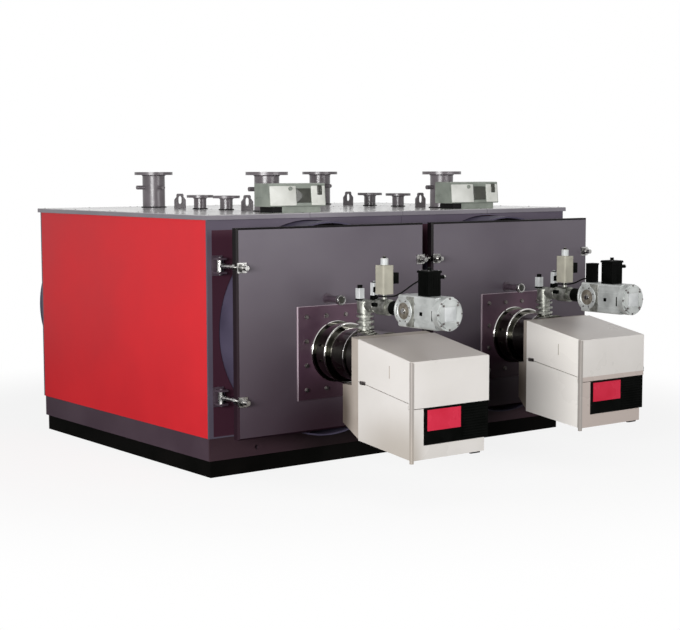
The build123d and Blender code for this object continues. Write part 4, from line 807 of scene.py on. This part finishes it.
def coilDetails(name, side, values):
    body = name + "_door"
    coil = values["coil"]
    spread = coil["lidHalf"] - 13.0
    corners = [(i * spread, coil["y"] + j * spread, coil["lidTop"] - 0.2)
               for i in (-1, 1) for j in (-1, 1)]
    nut = turnedForm([(13.0, 0.0), (13.0, 3.0), (11.0, 8.0), (11.0, 9.0), (6.5, 9.0), (6.5, 6.0)], 24, 6,
                     11.6)
    addPiece(name + "CoilScrews", [placed(domeHead(4.5, 2.4), "up", corners),
                                   placed(nut, "right",
                                          (coil["socketEnd"] - 2.0, coil["socketY"], coil["socketZ"]))],
             "zincPlate", body, side)
    low, high = coil["low"] + 8.0, coil["high"] - 8.0
    fin = softBlock(5.0, high - low, 2.6, 2.2, 1.0)
    steps = np.linspace(-32.0, 32.0, 6)
    middle = (low + high) / 2
    onFront = [(x, coil["y"] - coil["side"] + 0.2, middle) for x in steps]
    onLeft = [(-coil["side"] + 0.2, coil["y"] + x, middle) for x in steps]
    addPiece(name + "CoilFins", [placed(fin, "front", onFront), placed(fin, "left", onLeft)],
             "mouldedBlackAbs",
             body, side)


def instrumentDetails(name, side, values):
    body = name + "_door"
    motor = values["actuator"]
    half = motor["half"]
    seam = softBlock(2 * half + 3.0, 2 * half + 3.0, 4.0, 13.0, 1.2)
    addPiece(name + "MotorSeam", [placed(seam, "up", (0.0, motor["y"], motor["seamZ"]))], "mouldedBeigeAbs",
             body,
             side)
    small, tall = values["smallSwitch"], values["tallSwitch"]
    head = turnedForm([(21.0, 0.0), (24.0, 2.0), (24.0, 40.0), (21.0, 43.4), (12.0, 43.8)], 40)
    addPiece(name + "MotorHead", [placed(head, "up", (0.0, motor["y"], motor["lidZ"] + 0.3))],
             "mouldedGreyAbs",
             body, side)
    cap = turnedForm([(10.0, 0.0), (10.0, 9.0), (8.0, 11.6)], 24)
    plug, lowPlug, sidePlug = (softBlock(*size, 5.0, 2.0) for size in motor["plugSizes"])
    caps = [placed(cap, "up", (0.0, motor["y"], motor["lidZ"] + 43.6)),
            placed(plug, "up", (half + 22.0, motor["plugY"], motor["plugZ"])),
            placed(lowPlug, "front", (-8.0, tall["y"] - tall["half"] + 1.0, motor["lowPlugZ"])),
            placed(sidePlug, "left", (-46.0, motor["sidePlugY"], motor["sidePlugZ"]))]
    for switch, share, reach, rise in ((small, 0.16, 16.0, 20.0), (tall, 0.26, 13.0, 8.0)):
        width = 2 * switch["half"] + 3.0
        foot = softBlock(width, width, (switch["high"] - switch["low"]) * share, 5.0, 1.5)
        caps.append(placed(foot, "up", (0.0, switch["y"], switch["low"] + 0.5)))
        cap = turnedForm([(reach, 0.0), (reach, rise - 3.0), (reach - 2.0, rise)], 24)
        caps.append(placed(cap, "up", (0.0, switch["y"], switch["high"] - 0.3)))
    socket = softBlock(30.0, 34.0, 30.0, 5.0, 2.0)
    caps.append(placed(socket, "right", (tall["half"] - 1.0, tall["y"], tall["high"] - 46.0)))
    addPiece(name + "SwitchCaps", caps, "mouldedBlackAbs", body, side)
    nuts = []
    for z in values["riserCollars"]:
        collar = values["collar"]
        nuts.append(placed(turnedForm([(collar + 3.0, 0.0), (collar + 3.0, 12.0), (collar - 1.0, 15.0)], 48,
                                      8,
                                      collar + 0.5), "up", (0.0, values["riserY"], z - 1.0)))
    addPiece(name + "UnionNuts", nuts, "galvanisedPipe", body, side)


# Control box: pale fascia panels on its leaning front, display window in a bezel, ribs, rockers and knob cap
controlValues = {
    "faceY": 99.0, "lowZ": 1690.0, "lean": 14.0, "height": 150.0, "leftX": -235.0, "rightX": 213.0,
    "display": (-21.0, 96.0, 1710.0, 1810.0), "ribs": (104.0, 138.0, 5),
    "block": (146.0, 186.0, 1762.0, 1828.0),
    "knob": (-70.0, 1806.0), "foot": (-203.0, -128.0, 114.0, 262.0, 1651.0, 1689.5),
}


# Turn that makes a form face the front and lean back with the panel, and the place on the panel for (x, z)
def controlTurn(values):
    slope = math.atan2(values["lean"], values["height"])
    lean = np.array([[1, 0, 0], [0, math.cos(slope), math.sin(slope)],
                     [0, -math.sin(slope), math.cos(slope)]])
    return lean @ facing["front"]


def onControl(values, x, z, proud=0.0):
    return (x, values["faceY"] + values["lean"] * (z - values["lowZ"]) / values["height"] - proud, z)


def controlDetails(name, side, values):
    turn = controlTurn(values)
    left, right, low, high = values["display"]
    middleZ = (values["lowZ"] + 6.0 + values["lowZ"] + values["height"] - 16.0) / 2
    tall = values["height"] - 24.0
    fascia = []
    for x0, x1 in ((values["leftX"] + 5.0, left - 3.0), (right + 3.0, values["rightX"] - 5.0)):
        sheet = softBlock(x1 - x0, tall, 2.4, 5.0, 0.9)
        fascia.append(placed(sheet, turn, onControl(values, (x0 + x1) / 2, middleZ, -0.4)))
    addPiece(name + "ControlFascia", fascia, "paleFascia", "boiler_row", side)
    window = softBlock(right - left - 6.0, high - low - 6.0, 3.0, 5.0, 1.0)
    first, last, bottom, top = values["block"]
    block = softBlock(last - first - 2.0, top - bottom - 2.0, 5.0, 4.0, 1.5)
    rocker = softBlock(14.0, 24.0, 4.0, 3.0, 1.4)
    blockX, blockZ = (first + last) / 2, (bottom + top) / 2
    addPiece(name + "ControlDisplay",
             [placed(window, turn, onControl(values, (left + right) / 2, (low + high) / 2, -3.6)),
              placed(block, turn, onControl(values, blockX, blockZ, -1.0)),
              placed(rocker, turn, [onControl(values, blockX - 9.0, blockZ, 3.6),
                                    onControl(values, blockX + 9.0, blockZ, 3.6)])],
             "displayWindow", "boiler_row", side)
    start, end, count = values["ribs"]
    rib = softBlock(3.6, 92.0, 4.0, 1.7, 1.0)
    addPiece(name + "ControlRibs", [placed(rib, turn, [onControl(values, x, 1758.0, 1.2)
                                                      for x in np.linspace(start, end, count)])],
             "paleFascia", "boiler_row", side)
    knobX, knobZ = values["knob"]
    cap = turnedForm([(13.5, 0.0), (13.5, 3.0), (12.5, 4.0), (12.5, 10.0), (10.5, 11.5)], 36)
    addPiece(name + "ControlKnob", [placed(cap, turn, onControl(values, knobX, knobZ, 0.5))],
             "greenGreyCase",
             "boiler_row", side)
    # black block under the box's left end, a dark piece standing for the shade in the gap under the box
    x0, x1, y0, y1, low, high = values["foot"]
    block = softBlock(x1 - x0, y1 - y0, high - low, 4.0, 1.5)
    addPiece(name + "ControlShadeBlock", [placed(block, "up", ((x0 + x1) / 2, (y0 + y1) / 2, low))], "blackRubber",
             "boiler_row", side)


# Cover: rubber grommets round the nozzles, sheet-metal screws along the edges, welds under the flanges
topValues = {
    "coverZ": 1650.0, "tall": ((478.0, 1990.0), 84.15, 1893.0), "short": ((982.0, 1330.0), 44.45, 1732.0),
    "screwX": (-745.0, -380.0, -30.0, 30.0, 380.0, 745.0),
    "screwY": (20.0, 330.0, 640.0, 900.0, 1225.0, 1295.0, 1600.0, 1810.0, 2050.0, 2300.0),
}


def topDetails(name, side, values):
    grommets, welds = [], []
    for ys, radius, flangeZ in (values["tall"], values["short"]):
        places = [(0.0, y, values["coverZ"]) for y in ys]
        grommets.append(placed(beadRing(radius + 5.0, 5.5, 1.5), "up", places))
        places = [(0.0, y, flangeZ) for y in ys]
        welds.append(placed(beadRing(radius + 1.0, 4.5, -2.5, section=8), "up", places))
    addPiece(name + "NozzleGrommets", grommets, "blackRubber", "boiler_row", side)
    addPiece(name + "NozzleWelds", welds, "sprayedEnamel", "boiler_row", side)
    x, y = (grid.ravel() for grid in np.meshgrid(values["screwX"], values["screwY"]))
    edge = (np.abs(x) > 700.0) | (np.abs(y - 1160.0) > 1100.0) | (np.abs(y - 1260.0) < 60.0)
    places = np.stack([x[edge], y[edge], np.full(edge.sum(), values["coverZ"])], axis=1)
    addPiece(name + "CoverScrews", [placed(domeHead(6.0, 3.2), "up", places)], "zincPlate", "boiler_row",
             side)


# Woven rope in a ring round the door's lining
ropeValues = {"radius": 588.0, "thick": 8.0, "y": -223.0, "axisZ": 914.0}


def doorRope(name, side, values):
    ring = beadRing(values["radius"], values["thick"], 0.0, 160, 10)
    addPiece(name + "DoorRope", [placed(ring, "front", (0.0, values["y"], values["axisZ"]))], "glassRope",
             name + "_door", side)


for side, name in doors:
    burnerPlateBolts(name, side, burnerPlateValues)
    drumBeads(name, side, drumValues)
    sightBezel(name, side, sightValues)
    housingDetails(name, side, housingValues)
    valveDetails(name, side, gasValues)
    inletDetails(name, side, gasValues)
    sideCover(name, side, gasValues)
    coilDetails(name, side, gasValues)
    instrumentDetails(name, side, gasValues)
    controlDetails(name, side, controlValues)
    topDetails(name, side, topValues)
    doorRope(name, side, ropeValues)
print("details: on both units")

# Leads of the gas train in mm of the unit's frame: out of the tall switch, under the motor, up to the box
leadValues = {
    "diameter": 0.010,
    "left": ((-10, -701, 1160), (-10, -728, 1160), (-30, -757, 1161), (-30, -880, 1164), (-30, -965, 1184),
             (-30, -1129, 1276), (-30, -1156, 1276)),
    "right": ((-10, -701, 1160), (-10, -728, 1160), (-30, -757, 1161), (-30, -890, 1168), (-30, -981, 1212),
              (-30, -1008, 1212)),
}


# Smooth spline with the route's points as its control points
def gasLead(name, side, values):
    curve = bpy.data.curves.new(name + "GasLead", "CURVE")
    curve.dimensions = "3D"
    route = (np.array(values[name], float) + [side * unitFrame["halfPitch"], -unitFrame["halfLength"],
                                              0.0]) / 1000.0
    spline = curve.splines.new("NURBS")
    spline.points.add(len(route) - 1)
    spline.points.foreach_set("co", np.column_stack([route, np.ones(len(route))]).ravel())
    spline.order_u = 3
    spline.use_endpoint_u = True
    spline.resolution_u = 16
    curve.bevel_depth = values["diameter"] / 2
    curve.bevel_resolution = 5
    curve.use_fill_caps = True
    curve.materials.append(finishes["cableSheath"])
    lead = bpy.data.objects.new(name + "GasLead", curve)
    scene.collection.objects.link(lead)
    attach(lead, name + "_door")
    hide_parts(name + "_gas_lead")
    return lead, route


for side, name in doors:
    lead, route = gasLead(name, side, leadValues)
print("leads: two")
